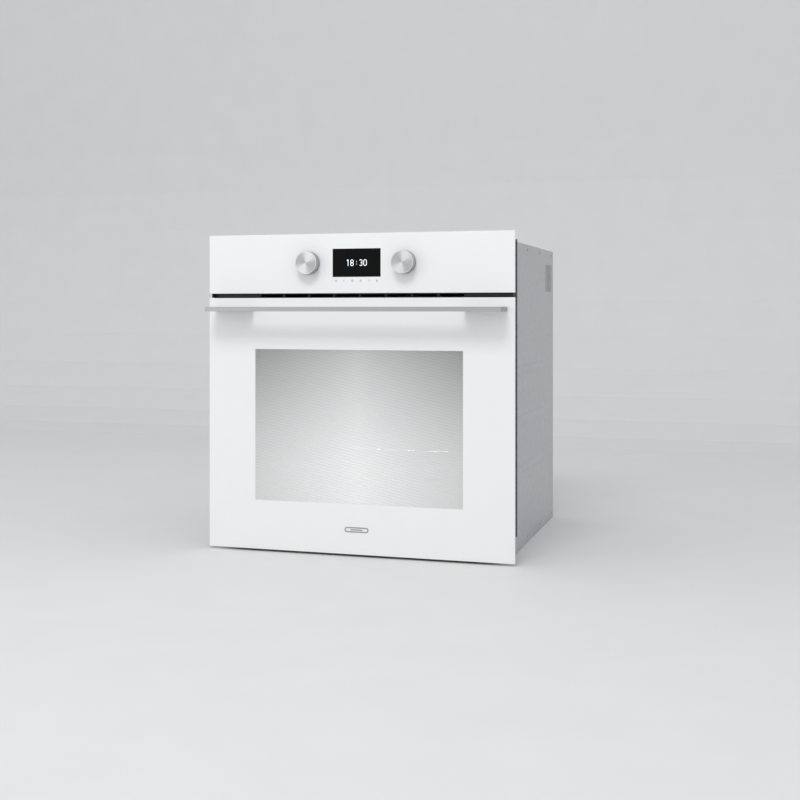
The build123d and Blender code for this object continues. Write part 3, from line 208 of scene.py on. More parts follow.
def mix(tree, mask, first, second):
    """Mixes two colours, each a socket or a tuple, by a mask."""
    made = node(tree, "ShaderNodeMix", data_type="RGBA")
    join(tree, mask, made.inputs[0])
    for index, value in ((6, first), (7, second)):
        if isinstance(value, tuple):
            made.inputs[index].default_value = (*value, 1)
        else:
            join(tree, value, made.inputs[index])
    return made.outputs[2]


def start_material(name, **inputs):
    """A material with a Principled shader whose plain values are set on its own sockets."""
    made = bpy.data.materials.new(name)
    made.use_nodes = True
    shader = made.node_tree.nodes["Principled BSDF"]
    for key, value in inputs.items():
        shader.inputs[key.replace("_", " ")].default_value = value
    return made, made.node_tree, shader


def object_place(tree):
    """The Object coordinates' vector and its three parts."""
    place = node(tree, "ShaderNodeTexCoord").outputs["Object"]
    parts = node(tree, "ShaderNodeSeparateXYZ")
    join(tree, place, parts.inputs[0])
    return place, parts.outputs[0], parts.outputs[1], parts.outputs[2]


def inside(tree, value, centre, half, soft=0.2 * MM):
    """1 where the value is within half of the centre, with a soft edge."""
    away = maths(tree, "ABSOLUTE", maths(tree, "SUBTRACT", value, centre))
    return maths(tree, "DIVIDE", maths(tree, "SUBTRACT", half, away), soft, clamp=True)


def rectangle(tree, x, z, half_width, base, top):
    """1 within an upright rectangle about x = 0, with a soft edge."""
    across = inside(tree, x, 0.0, half_width)
    upright = inside(tree, z, (base + top) / 2, (top - base) / 2)
    return maths(tree, "MULTIPLY", across, upright)


def bump(tree, shader, height, strength, distance):
    """Feeds the shader's normal from a height."""
    made = node(tree, "ShaderNodeBump", {"Strength": strength, "Distance": distance})
    join(tree, height, made.inputs["Height"])
    join(tree, made.outputs["Normal"], shader.inputs["Normal"])


# ------------------------------------------------------------------ shared effects
def build_grain_group():
    """Streaks along one axis, as a brush or a mill leaves them, and a slow cloud."""
    group = bpy.data.node_groups.new("drawn_grain", "ShaderNodeTree")
    group.interface.new_socket("Place", in_out="INPUT", socket_type="NodeSocketVector")
    stretch = group.interface.new_socket("Stretch", in_out="INPUT", socket_type="NodeSocketVector")
    stretch.default_value = (1, 1, 1)
    group.interface.new_socket("Mask", in_out="OUTPUT", socket_type="NodeSocketFloat")
    group.interface.new_socket("Cloud", in_out="OUTPUT", socket_type="NodeSocketFloat")
    source = node(group, "NodeGroupInput")
    result = node(group, "NodeGroupOutput")
    scaled = node(group, "ShaderNodeVectorMath", operation="MULTIPLY")
    join(group, source.outputs["Place"], scaled.inputs[0])
    join(group, source.outputs["Stretch"], scaled.inputs[1])
    streak = node(group, "ShaderNodeTexNoise", {"Scale": 1.0, "Detail": 4.0, "Roughness": 0.65})
    join(group, scaled.outputs[0], streak.inputs["Vector"])
    cloud = node(group, "ShaderNodeTexNoise", {"Scale": 9.0, "Detail": 3.0})
    join(group, source.outputs["Place"], cloud.inputs["Vector"])
    join(group, streak.outputs["Fac"], result.inputs["Mask"])
    join(group, cloud.outputs["Fac"], result.inputs["Cloud"])
    return group


def build_speck_group():
    """Fine pale specks and a slow mottle, as fired enamel and plated sheet have."""
    group = bpy.data.node_groups.new("speck_and_mottle", "ShaderNodeTree")
    group.interface.new_socket("Place", in_out="INPUT", socket_type="NodeSocketVector")
    for label in ("Speck Scale", "Mottle Scale"):
        group.interface.new_socket(label, in_out="INPUT", socket_type="NodeSocketFloat")
    group.interface.new_socket("Speck", in_out="OUTPUT", socket_type="NodeSocketFloat")
    group.interface.new_socket("Mottle", in_out="OUTPUT", socket_type="NodeSocketFloat")
    source = node(group, "NodeGroupInput")
    result = node(group, "NodeGroupOutput")
    speck = node(group, "ShaderNodeTexVoronoi", {"Randomness": 1.0})
    join(group, source.outputs["Place"], speck.inputs["Vector"])
    join(group, source.outputs["Speck Scale"], speck.inputs["Scale"])
    sharp = maths(group, "LESS_THAN", speck.outputs["Distance"], 0.16)
    cells = node(group, "ShaderNodeTexVoronoi", {"Randomness": 1.0})
    join(group, source.outputs["Place"], cells.inputs["Vector"])
    join(group, source.outputs["Mottle Scale"], cells.inputs["Scale"])
    tone = node(group, "ShaderNodeSeparateColor")
    join(group, cells.outputs["Color"], tone.inputs[0])
    join(group, sharp, result.inputs["Speck"])
    join(group, tone.outputs[0], result.inputs["Mottle"])
    return group


GRAIN = build_grain_group()
SPECK = build_speck_group()


def use_grain(tree, place, stretch):
    """The streaks and the cloud of the grain group at this place."""
    made = node(tree, "ShaderNodeGroup", node_tree=GRAIN)
    made.inputs["Stretch"].default_value = stretch
    join(tree, place, made.inputs["Place"])
    return made.outputs["Mask"], made.outputs["Cloud"]


def use_speck(tree, place, speck_scale, mottle_scale):
    """The specks and the mottle of the speck group at this place."""
    made = node(tree, "ShaderNodeGroup", node_tree=SPECK)
    made.inputs["Speck Scale"].default_value = speck_scale
    made.inputs["Mottle Scale"].default_value = mottle_scale
    join(tree, place, made.inputs["Place"])
    return made.outputs["Speck"], made.outputs["Mottle"]


# ------------------------------------------------------------------ materials
def white_print(tree, place):
    """The white print on the back of the glass, with a very slight mottle."""
    mottle = use_speck(tree, place, 500.0, 30.0)[1]
    return mix(tree, maths(tree, "MULTIPLY", mottle, 0.03), (0.865, 0.868, 0.868), (0.80, 0.81, 0.81))


def printed_door_glass():
    """White back-printed glass with a dotted window that lets the cavity show through; the window carries
    painted light, a painted reflection lighter at its foot and painted shade towards its top and sides.
    """
    made, tree, shader = start_material("printed_door_glass", Roughness=0.06, Specular_IOR_Level=0.3)
    place, x, _, z = object_place(tree)
    window = rectangle(tree, x, z, WINDOW_HALF, WINDOW_BASE, WINDOW_TOP)
    dots = maths(tree, "MULTIPLY", wave(tree, x, DOT_PITCH), wave(tree, z, DOT_PITCH))
    holes = maths(tree, "GREATER_THAN", dots, HOLE_LEVEL)
    rise = maths(tree, "SUBTRACT", z, WINDOW_BASE)
    climb = maths(tree, "DIVIDE", rise, WINDOW_TOP - WINDOW_BASE, clamp=True)
    edge = maths(tree, "DIVIDE", maths(tree, "ABSOLUTE", x), WINDOW_HALF, clamp=True)
    # Painted reflection and painted shade: the window is lighter at its foot and darker at its top and
    # towards its sides.
    painted_reflection = ramp(tree, climb, WINDOW_PAINTED_LIGHT_TONES)
    painted_light = maths(tree, "SUBTRACT", painted_reflection, maths(tree, "MULTIPLY", edge, WINDOW_PAINTED_EDGE_SHADE))
    slope = maths(tree, "ADD", z, maths(tree, "MULTIPLY", x, WEAVE_SLOPE))
    weave = graded(tree, wave(tree, slope, WEAVE_PITCH), WEAVE_DEPTH, 1.0)
    shade = maths(tree, "MULTIPLY", painted_light, weave)
    join(tree, mix(tree, window, white_print(tree, place), shade), shader.inputs["Base Color"])
    clear = maths(tree, "MULTIPLY", maths(tree, "MULTIPLY", window, holes), HOLE_CLEAR)
    join(tree, maths(tree, "SUBTRACT", 1.0, clear), shader.inputs["Alpha"])
    return made


def printed_panel_glass():
    """White back-printed glass with a black field behind the display."""
    made, tree, shader = start_material("printed_panel_glass", Roughness=0.06, Specular_IOR_Level=0.1)
    place, x, _, z = object_place(tree)
    field = rectangle(tree, x, z, DISPLAY_HALF, DISPLAY_BASE, DISPLAY_TOP)
    paint = mix(tree, field, white_print(tree, place), (0.003, 0.003, 0.0035))
    join(tree, paint, shader.inputs["Base Color"])
    return made


def clear_pane(name, tint, cover):
    """A clear coated pane, with the faintest smears in its gloss."""
    made, tree, shader = start_material(name, Base_Color=(*tint, 1), Alpha=cover, Coat_Weight=0.3)
    place = object_place(tree)[0]
    smear = use_grain(tree, place, (14, 14, 60))[1]
    join(tree, maths(tree, "MULTIPLY", smear, 0.12), shader.inputs["Roughness"])
    return made


def bordered_pane():
    """The inner pane: clear and coated, with a dark printed border over the door's frame."""
    made, tree, shader = start_material("bordered_pane", Coat_Weight=0.3)
    place, x, _, z = object_place(tree)
    base, top = WINDOW_BASE - BORDER_GAP, WINDOW_TOP + BORDER_GAP
    window = rectangle(tree, x, z, WINDOW_HALF + BORDER_GAP, base, top)
    smear = use_grain(tree, place, (14, 14, 60))[1]
    join(tree, mix(tree, window, (0.030, 0.031, 0.033), (0.55, 0.60, 0.60)), shader.inputs["Base Color"])
    join(tree, maths(tree, "SUBTRACT", 1.0, maths(tree, "MULTIPLY", window, 0.9)), shader.inputs["Alpha"])
    join(tree, graded(tree, smear, 0.12, 0.03), shader.inputs["Roughness"])
    return made


def spun_aluminium(name, knob):
    """Aluminium turned on a lathe: rings about the knob's axis, with painted highlight fans across the
    face, a painted highlight ring at the rim and painted shade on the side wall.
    """
    made, tree, shader = start_material(name, Metallic=1.0, Anisotropic=0.75)
    low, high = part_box(knob)
    centre_x, centre_z = (low[0] + high[0]) / 2, (low[2] + high[2]) / 2
    rim = (high[0] - low[0]) / 2 - KNOB_RIM
    _, x, y, z = object_place(tree)
    dx = maths(tree, "SUBTRACT", x, centre_x)
    dz = maths(tree, "SUBTRACT", z, centre_z)
    squares = maths(tree, "ADD", maths(tree, "MULTIPLY", dx, dx), maths(tree, "MULTIPLY", dz, dz))
    radius = maths(tree, "SQRT", squares)
    turn = maths(tree, "ARCTAN2", dz, dx)
    # Painted highlight: fans of light across the face, set by the angle about the knob's axis.
    painted_highlight_fan = maths(tree, "SINE", maths(tree, "MULTIPLY", maths(tree, "ADD", turn, PAINTED_HIGHLIGHT_TURN), 2.0))
    tone = ramp(tree, graded(tree, painted_highlight_fan, 0.5, 0.5), ((0.0, 0.55), (0.4, 0.68), (0.75, 0.92), (1.0, 1.0)))
    rings = node(tree, "ShaderNodeTexNoise", {"Scale": 4200.0, "Detail": 2.0}, noise_dimensions="1D")
    join(tree, radius, rings.inputs["W"])
    streaked = mix(tree, maths(tree, "MULTIPLY", rings.outputs["Fac"], 0.35), tone, (0.50, 0.50, 0.50))
    # Painted highlight: a bright ring at the face's rim.
    painted_rim_highlight = inside(tree, radius, rim, KNOB_RIM * 0.5, 0.3 * MM)
    faced = mix(tree, painted_rim_highlight, streaked, (0.97, 0.97, 0.97))
    # Painted shade: the side wall behind the face is darker.
    painted_wall_shade = maths(tree, "GREATER_THAN", y, low[1] + KNOB_FACE_DEPTH)
    join(tree, mix(tree, painted_wall_shade, faced, (0.36, 0.36, 0.36)), shader.inputs["Base Color"])
    join(tree, graded(tree, rings.outputs["Fac"], 0.16, 0.20), shader.inputs["Roughness"])
    bump(tree, shader, rings.outputs["Fac"], 0.25, 0.04 * MM)
    spin = node(tree, "ShaderNodeCombineXYZ")
    join(tree, maths(tree, "MULTIPLY", dz, -1.0), spin.inputs[0])
    join(tree, dx, spin.inputs[2])
    unit = node(tree, "ShaderNodeVectorMath", operation="NORMALIZE")
    join(tree, spin.outputs[0], unit.inputs[0])
    join(tree, unit.outputs[0], shader.inputs["Tangent"])
    return made


def drawn_metal(name, colour, stretch, rough=(0.22, 0.2), strength=0.2):
    """Metal with drawn or brushed streaks; an even stretch gives a fine grain instead."""
    made, tree, shader = start_material(name, Metallic=1.0)
    place = object_place(tree)[0]
    streak, cloud = use_grain(tree, place, stretch)
    dark = tuple(part * 0.78 for part in colour)
    join(tree, mix(tree, streak, dark, colour), shader.inputs["Base Color"])
    join(tree, graded(tree, cloud, rough[1], rough[0]), shader.inputs["Roughness"])
    bump(tree, shader, streak, strength, 0.05 * MM)
    return made


def handle_metal():
    """Aluminium brushed along the bar, with painted shade darkening its end faces."""
    made, tree, shader = start_material("brushed_aluminium", Metallic=1.0)
    place, x, _, _ = object_place(tree)
    streak, cloud = use_grain(tree, place, (6, 900, 2600))
    sides = mix(tree, streak, (0.43, 0.43, 0.435), (0.60, 0.60, 0.605))
    # Painted shade: the end faces are darker.
    end = maths(tree, "GREATER_THAN", maths(tree, "ABSOLUTE", x), handle_high[0] - PAINTED_END_SHADE_DEPTH)
    join(tree, mix(tree, end, sides, (0.36, 0.36, 0.365)), shader.inputs["Base Color"])
    join(tree, graded(tree, cloud, 0.12, 0.3), shader.inputs["Roughness"])
    bump(tree, shader, streak, 0.12, 0.05 * MM)
    return made


def galvanised_sheet():
    """Zinc-coated sheet with its frost-like spangle."""
    made, tree, shader = start_material("galvanised_sheet", Metallic=0.9)
    place = object_place(tree)[0]
    speck, spangle = use_speck(tree, place, 1300.0, 150.0)
    tone = mix(tree, spangle, (0.50, 0.515, 0.525), (0.61, 0.625, 0.635))
    fleck = maths(tree, "MULTIPLY", speck, 0.2)
    join(tree, mix(tree, fleck, tone, (0.8, 0.8, 0.8)), shader.inputs["Base Color"])
    join(tree, graded(tree, spangle, 0.14, 0.34), shader.inputs["Roughness"])
    bump(tree, shader, spangle, 0.12, 0.04 * MM)
    return made


def fired_enamel():
    """Dark grey oven enamel with fine pale specks and a slight orange peel."""
    made, tree, shader = start_material("fired_enamel", Coat_Weight=0.35, Coat_Roughness=0.12)
    place = object_place(tree)[0]
    speck, mottle = use_speck(tree, place, 420.0, 160.0)
    ground = mix(tree, mottle, (0.105, 0.108, 0.115), (0.145, 0.148, 0.155))
    join(tree, mix(tree, speck, ground, (0.42, 0.43, 0.44)), shader.inputs["Base Color"])
    peel = node(tree, "ShaderNodeTexNoise", {"Scale": 260.0, "Detail": 2.0})
    join(tree, place, peel.inputs["Vector"])
    join(tree, graded(tree, peel.outputs["Fac"], 0.15, 0.2), shader.inputs["Roughness"])
    bump(tree, shader, peel.outputs["Fac"], 0.25, 0.2 * MM)
    return made


def moulded(name, colour, rough=0.45, texture=700.0, strength=0.25):
    """Moulded plastic or rubber with a spark-eroded grain."""
    made, tree, shader = start_material(name)
    place = object_place(tree)[0]
    grit = node(tree, "ShaderNodeTexNoise", {"Scale": texture, "Detail": 3.0})
    join(tree, place, grit.inputs["Vector"])
    pale = tuple(min(1.0, part * 1.25 + 0.01) for part in colour)
    join(tree, mix(tree, grit.outputs["Fac"], colour, pale), shader.inputs["Base Color"])
    join(tree, graded(tree, grit.outputs["Fac"], 0.2, rough - 0.1), shader.inputs["Roughness"])
    bump(tree, shader, grit.outputs["Fac"], strength, 0.1 * MM)
    return made


def mineral_wool():
    """Matted fibre, pale and uneven."""
    made, tree, shader = start_material("mineral_wool_fibre", Roughness=0.95, Sheen_Weight=0.3)
    place = object_place(tree)[0]
    fibre = use_grain(tree, place, (900, 240, 700))[0]
    join(tree, mix(tree, fibre, (0.42, 0.38, 0.27), (0.74, 0.70, 0.56)), shader.inputs["Base Color"])
    bump(tree, shader, fibre, 0.8, 1 * MM)
    return made


def glowing(name, colour, strength):
    """A lit display element, its light a little uneven."""
    made, tree, shader = start_material(
        name, Base_Color=(*colour, 1), Roughness=0.4, Emission_Strength=strength)
    place = object_place(tree)[0]
    cloud = use_grain(tree, place, (300, 300, 300))[1]
    dim = tuple(part * 0.9 for part in colour)
    join(tree, mix(tree, cloud, dim, colour), shader.inputs["Emission Color"])
    return made


STEEL = (0.60, 0.60, 0.60)
FINISH = {
    "white_glass": printed_door_glass(),
    "clear_glass": clear_pane("clear_pane", (0.55, 0.60, 0.60), 0.10),
    "spun_aluminium": spun_aluminium("spun_aluminium_right", "knob_right"),
    "brushed_aluminium": handle_metal(),
    "galvanised": galvanised_sheet(),
    "enamel": fired_enamel(),
    "stainless": drawn_metal("drawn_stainless", STEEL, (900, 8, 900)),
    "chrome_wire": drawn_metal("bright_wire", (0.90, 0.90, 0.91), (60, 60, 60), (0.08, 0.12), 0.05),
    "grey_plastic": moulded("grey_moulding", (0.034, 0.034, 0.035)),
    "pale_plastic": moulded("pale_moulding", (0.55, 0.54, 0.50)),
    "circuit": moulded("circuit_lacquer", (0.02, 0.13, 0.05), 0.3, 300.0, 0.1),
    "display": moulded("display_lens", (0.008, 0.008, 0.009), 0.15, 200.0, 0.02),
    "seal": moulded("silicone_seal", (0.025, 0.025, 0.026), 0.6, 1500.0, 0.3),
    "mineral_wool": mineral_wool(),
    "element": drawn_metal("heat_stained_sheath", (0.24, 0.21, 0.19), (90, 90, 90), (0.35, 0.25), 0.3),
    "frame_steel": drawn_metal("brushed_frame", (0.52, 0.52, 0.53), (700, 700, 30), (0.3, 0.2), 0.15),
    "spring_steel": drawn_metal("oiled_spring_steel", (0.36, 0.36, 0.37), (700, 700, 30), (0.22, 0.2), 0.2),
    "motor": moulded("motor_lacquer", (0.05, 0.05, 0.055), 0.35, 120.0, 0.15),
}


def dress(name, material):
    """Gives a carried-over node its material."""
    piece = NODES[name]
    if not piece.material_slots:
        piece.data.materials.append(material)
    for place in piece.material_slots:
        place.material = material


for entry in frame["record"]["subparts"]:
    dress(entry["node"], FINISH[entry["material_slot"]])
dress("control_glass", printed_panel_glass())
dress("door_glass_inner", bordered_pane())
for frame_piece in ("door_stiles", "door_rails"):
    dress(frame_piece, FINISH["frame_steel"])
dress("knob_left", spun_aluminium("spun_aluminium_left", "knob_left"))


# ------------------------------------------------------------------ mesh helpers
def finish_piece(mesh, name, material, body, smooth=False):
    """Makes a mesh into a piece that rides on a body, its faces all in the given material."""
    piece = bpy.data.objects.new(name, mesh)
    bpy.context.scene.collection.objects.link(piece)
    mesh.materials.clear()
    mesh.materials.append(material)
    for face in mesh.polygons:
        face.use_smooth = smooth
        face.material_index = 0
    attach(piece, body)
    return piece


def extrude_outline(form, outline, front_y, back_y):
    """Adds a closed plate to the bmesh, its outline given as (x, z) points."""
    front = [form.verts.new((x, front_y, z)) for x, z in outline]
    back = [form.verts.new((x, back_y, z)) for x, z in outline]
    form.faces.new(front)
    form.faces.new(list(reversed(back)))
    for index in range(len(outline)):
        after = (index + 1) % len(outline)
        form.faces.new((front[index], back[index], back[after], front[after]))


def mesh_of(form, name):
    """The bmesh as a mesh, its faces turned outwards."""
    bmesh.ops.recalc_face_normals(form, faces=form.faces)
    mesh = bpy.data.meshes.new(name)
    form.to_mesh(mesh)
    form.free()
    return mesh


def arc_points(centre, radius, begin, end, steps=10):
    """Points on an arc, angles in degrees."""
    angles = [radians(begin + (end - begin) * step / steps) for step in range(steps + 1)]
    return [(centre[0] + radius * cos(a), centre[1] + radius * sin(a)) for a in angles]


def rounded_bar(centre, width, height):
    """The outline of a bar with fully round ends."""
    reach = width / 2 - height / 2
    right = arc_points((centre[0] + reach, centre[1]), height / 2, -90, 90)
    left = arc_points((centre[0] - reach, centre[1]), height / 2, 90, 270)
    return right + left


def stroke(first, last, width):
    """The outline of a straight stroke between two points."""
    first, last = Vector(first), Vector(last)
    along = (last - first).normalized()
    side = Vector((-along.y, along.x)) * width / 2
    return [tuple(first - side), tuple(last - side), tuple(last + side), tuple(first + side)]


def printed(form, outline):
    """Adds a print of this outline to the bmesh, just proud of the front glass."""
    extrude_outline(form, outline, face_y - PRINT_LIFT, face_y)


def ring_strokes(form, centre, radius, width, begin=0, end=360, steps=20):
    """Adds an open or closed ring to the bmesh as a row of short strokes, angles in degrees."""
    outer = arc_points(centre, radius + width / 2, begin, end, steps)
    inner = arc_points(centre, radius - width / 2, begin, end, steps)
    for index in range(steps):
        printed(form, [outer[index], outer[index + 1], inner[index + 1], inner[index]])


# ------------------------------------------------------------------ repeated forms
ROW_INPUTS = (
    ("Start", "NodeSocketVector"), ("Step", "NodeSocketVector"), ("Turn", "NodeSocketVector"),
    ("Count", "NodeSocketInt"), ("Length", "NodeSocketFloat"), ("Radius", "NodeSocketFloat"),
    ("Rise", "NodeSocketFloat"), ("Material", "NodeSocketMaterial"))


def tree_with(name, inputs):
    """A geometry tree with named inputs, and the nodes at its two ends."""
    tree = bpy.data.node_groups.new(name, "GeometryNodeTree")
    tree.interface.new_socket("Geometry", in_out="OUTPUT", socket_type="NodeSocketGeometry")
    for label, kind in inputs:
        tree.interface.new_socket(label, in_out="INPUT", socket_type=kind)
    return tree, node(tree, "NodeGroupInput"), node(tree, "NodeGroupOutput")


def close_tree(tree, ends, result, material):
    """Makes the instances real, gives them their material and ends the tree."""
    real = node(tree, "GeometryNodeRealizeInstances")
    join(tree, result, real.inputs[0])
    dressed = node(tree, "GeometryNodeSetMaterial")
    join(tree, real.outputs[0], dressed.inputs["Geometry"])
    join(tree, material, dressed.inputs["Material"])
    join(tree, dressed.outputs[0], ends.inputs["Geometry"])


def close_row(tree, given, ends, shape):
    """Sets the shape on each point of the row's line and ends the tree."""
    line = node(tree, "GeometryNodeMeshLine")
    join(tree, given.outputs["Count"], line.inputs["Count"])
    join(tree, given.outputs["Start"], line.inputs["Start Location"])
    join(tree, given.outputs["Step"], line.inputs["Offset"])
    spread = node(tree, "GeometryNodeInstanceOnPoints")
    join(tree, line.outputs[0], spread.inputs["Points"])
    join(tree, shape, spread.inputs["Instance"])
    join(tree, given.outputs["Turn"], spread.inputs["Rotation"])
    close_tree(tree, ends, spread.outputs[0], given.outputs["Material"])


def build_bead_tree():
    """A row of domed beads: long when Length is more than twice Radius, round when not."""
    tree, given, ends = tree_with("pressed_row", ROW_INPUTS)
    dome = node(tree, "GeometryNodeMeshUVSphere", {"Segments": 14, "Rings": 8})
    join(tree, given.outputs["Radius"], dome.inputs["Radius"])
    parts = node(tree, "ShaderNodeSeparateXYZ")
    join(tree, node(tree, "GeometryNodeInputPosition").outputs[0], parts.inputs[0])
    half = maths(tree, "DIVIDE", given.outputs["Length"], 2.0)
    reach = maths(tree, "MAXIMUM", maths(tree, "SUBTRACT", half, given.outputs["Radius"]), 0.0)
    ahead = maths(tree, "GREATER_THAN", parts.outputs[0], 1e-7)
    hand = graded(tree, ahead, 2.0, -1.0)
    push = node(tree, "ShaderNodeCombineXYZ")
    join(tree, maths(tree, "MULTIPLY", hand, reach), push.inputs[0])
    pulled = node(tree, "GeometryNodeSetPosition")
    join(tree, dome.outputs[0], pulled.inputs["Geometry"])
    join(tree, push.outputs[0], pulled.inputs["Offset"])
    flat = node(tree, "ShaderNodeCombineXYZ", {0: 1.0, 1: 1.0})
    join(tree, maths(tree, "DIVIDE", given.outputs["Rise"], given.outputs["Radius"]), flat.inputs[2])
    pressed = node(tree, "GeometryNodeTransform")
    join(tree, pulled.outputs[0], pressed.inputs["Geometry"])
    join(tree, flat.outputs[0], pressed.inputs["Scale"])
    close_row(tree, given, ends, pressed.outputs[0])
    return tree


def build_recess_shade_tree():
    """A row of cross recesses drawn as painted shade: two bars, as long as Length, as broad as Radius and
    as thick as Rise, to take a dark finish.
    """
    tree, given, ends = tree_with("cross_recess_row", ROW_INPUTS)
    both_bars = node(tree, "GeometryNodeJoinGeometry")
    for order in ((0, 1), (1, 0)):
        size = node(tree, "ShaderNodeCombineXYZ")
        join(tree, given.outputs["Length"], size.inputs[order[0]])
        join(tree, given.outputs["Radius"], size.inputs[order[1]])
        join(tree, given.outputs["Rise"], size.inputs[2])
        bar = node(tree, "GeometryNodeMeshCube")
        join(tree, size.outputs[0], bar.inputs["Size"])
        join(tree, bar.outputs[0], both_bars.inputs[0])
    close_row(tree, given, ends, both_bars.outputs[0])
    return tree


def build_spring_tree():
    """A coil spring standing on its base point, its wire closed at both ends."""
    tree, given, ends = tree_with("coil_spring", (
        ("Base", "NodeSocketVector"), ("Turns", "NodeSocketFloat"),
        ("Coil Radius", "NodeSocketFloat"), ("Wire Radius", "NodeSocketFloat"),
        ("Height", "NodeSocketFloat"), ("Material", "NodeSocketMaterial")))
    coil = node(tree, "GeometryNodeCurveSpiral", {"Resolution": 24})
    join(tree, given.outputs["Turns"], coil.inputs["Rotations"])
    join(tree, given.outputs["Coil Radius"], coil.inputs["Start Radius"])
    join(tree, given.outputs["Coil Radius"], coil.inputs["End Radius"])
    join(tree, given.outputs["Height"], coil.inputs["Height"])
    section = node(tree, "GeometryNodeCurvePrimitiveCircle", {"Resolution": 10})
    join(tree, given.outputs["Wire Radius"], section.inputs["Radius"])
    wire = node(tree, "GeometryNodeCurveToMesh", {"Fill Caps": True})
    join(tree, coil.outputs[0], wire.inputs["Curve"])
    join(tree, section.outputs[0], wire.inputs["Profile Curve"])
    placed = node(tree, "GeometryNodeTransform")
    join(tree, wire.outputs[0], placed.inputs["Geometry"])
    join(tree, given.outputs["Base"], placed.inputs["Translation"])
    close_tree(tree, ends, placed.outputs[0], given.outputs["Material"])
    return tree


def baked_rows(tree, rows, material, name):
    """One plain mesh of all the rows, each given as the tree's named values."""
    form = bmesh.new()
    for values in rows:
        holder = bpy.data.objects.new("row", bpy.data.meshes.new("row"))
        bpy.context.scene.collection.objects.link(holder)
        shaper = holder.modifiers.new("shape", "NODES")
        shaper.node_group = tree
        for socket in tree.interface.items_tree:
            if socket.in_out == "INPUT":
                shaper[socket.identifier] = material if socket.name == "Material" else values[socket.name]
        bpy.context.view_layer.update()
        shaped = holder.evaluated_get(bpy.context.evaluated_depsgraph_get())
        form.from_mesh(bpy.data.meshes.new_from_object(shaped))
        bpy.data.objects.remove(holder)
    return mesh_of(form, name)


BEADS = build_bead_tree()
CROSS_RECESS_SHADES = build_recess_shade_tree()


def row_piece(tree, rows, name, slot):
    """A piece of the casing made from one tree's rows; domed rows are smooth."""
    material = FINISH[slot]
    mesh = baked_rows(tree, rows, material, name)
    finish_piece(mesh, name, material, "casing", tree is BEADS)


def row(start, step, turn, count, length, radius, rise):
    """The named values of one row, for either tree."""
    return {"Start": start, "Step": step, "Turn": turn, "Count": count,
            "Length": length, "Radius": radius, "Rise": rise}


def screw_rows(start, step, turn, count, outward, screw, cross):
    """A row of domed screws, and the row of their cross recesses just under the domes' tops, as dark bars
    of painted shade.
    """
    reach = screw[1] - CROSS_SINK
    top = tuple(place + way * reach for place, way in zip(start, outward))
    return row(start, step, turn, count, 0.0, *screw), row(top, step, turn, count, *cross)


def side_rows(hand):
    """The beads, the spot welds and the two rows of screws on one side of the casing."""
    outer_x = hand * side_high[0]
    turn = (0, hand * pi / 2, 0)
    deep = side_high[1] - side_low[1]
    base = (outer_x, side_low[1] + deep * SIDE_BEAD_MIDDLE, side_low[2] + SIDE_BEAD_BASE)
    along_side = (pi / 2, 0, pi / 2)
    beads = row(base, (0, 0, BEAD_PITCH), along_side, 3, deep * SIDE_BEAD_LENGTH, *BEAD)
    first_weld, last_weld = side_low[2] + WELD_LOW_END, side_high[2] - WELD_HIGH_END
    weld_place = (outer_x, side_low[1] + WELD_INSET, first_weld)
    weld_step = (0, 0, (last_weld - first_weld) / (WELD_COUNT - 1))
    welds = row(weld_place, weld_step, turn, WELD_COUNT, 0.0, *SPOT_WELD)
    screw_span = deep - SIDE_SCREW_FRONT - SIDE_SCREW_REAR
    step = (0, screw_span / (SIDE_SCREW_COUNT - 1), 0)
    outward = (hand, 0, 0)
    screws = []
    for z in (side_low[2] + SIDE_SCREW_LOW, side_high[2] - SIDE_SCREW_HIGH):
        start = (outer_x, side_low[1] + SIDE_SCREW_FRONT, z)
        screws.append(screw_rows(start, step, turn, SIDE_SCREW_COUNT, outward, SHEET_SCREW, SHEET_CROSS))
    return beads, welds, screws


def rear_screws():
    """The two rows of screws along the rear panel's top and bottom edges."""
    side_inset, end_inset = REAR_SCREW_INSET
    step = (REAR_SCREW_PITCH, 0, 0)
    rows = []
    for z in (rear_low[2] + end_inset, rear_high[2] - end_inset):
        start = (rear_low[0] + side_inset, rear_high[1], z)
        rows.append(screw_rows(start, step, FACING_FRONT_OR_BACK, REAR_SCREW_COUNT,
                               (0, 1, 0), SHEET_SCREW, SHEET_CROSS))
    return rows


def casing_screw_crosses():
    """The cross recesses on the rear faces of the casing's own four screws, as dark bars of painted shade.
    """
    inset = CASING_SCREW_INSET
    step = (screw_high[0] - screw_low[0] - 2 * inset, 0, 0)
    rows = []
    for z in (screw_low[2] + inset, screw_high[2] - inset):
        start = (screw_low[0] + inset, screw_high[1], z)
        rows.append(row(start, step, FACING_FRONT_OR_BACK, 2, *CASING_CROSS))
    return rows


def casing_rows():
    """Stiffening beads, spot welds and screws on the casing's sheets."""
    rear_base = (0, rear_high[1], rear_low[2] + REAR_BEAD_BASE)
    top_base = (*TOP_BEAD_START, top_high[2])
    beads = [row(rear_base, (0, 0, BEAD_PITCH), FACING_FRONT_OR_BACK, 4, REAR_BEAD_LENGTH, *BEAD),
             row(top_base, (0, TOP_BEAD_PITCH, 0), FACING_UP, 4, TOP_BEAD_LENGTH, *BEAD)]
    welds = []
    pairs = rear_screws()
    for hand in (-1, 1):
        side_beads, side_welds, side_screws = side_rows(hand)
        beads.append(side_beads)
        welds.append(side_welds)
        pairs += side_screws
    row_piece(BEADS, beads, "casing_beads", "galvanised")
    row_piece(BEADS, welds, "spot_welds", "galvanised")
    row_piece(BEADS, [screws for screws, _ in pairs], "sheet_screws", "stainless")
    crosses = [cross for _, cross in pairs] + casing_screw_crosses()
    # The near-black seal finish on the crosses is painted shade for the recesses.
    row_piece(CROSS_RECESS_SHADES, crosses, "screw_recess_shade", "seal")


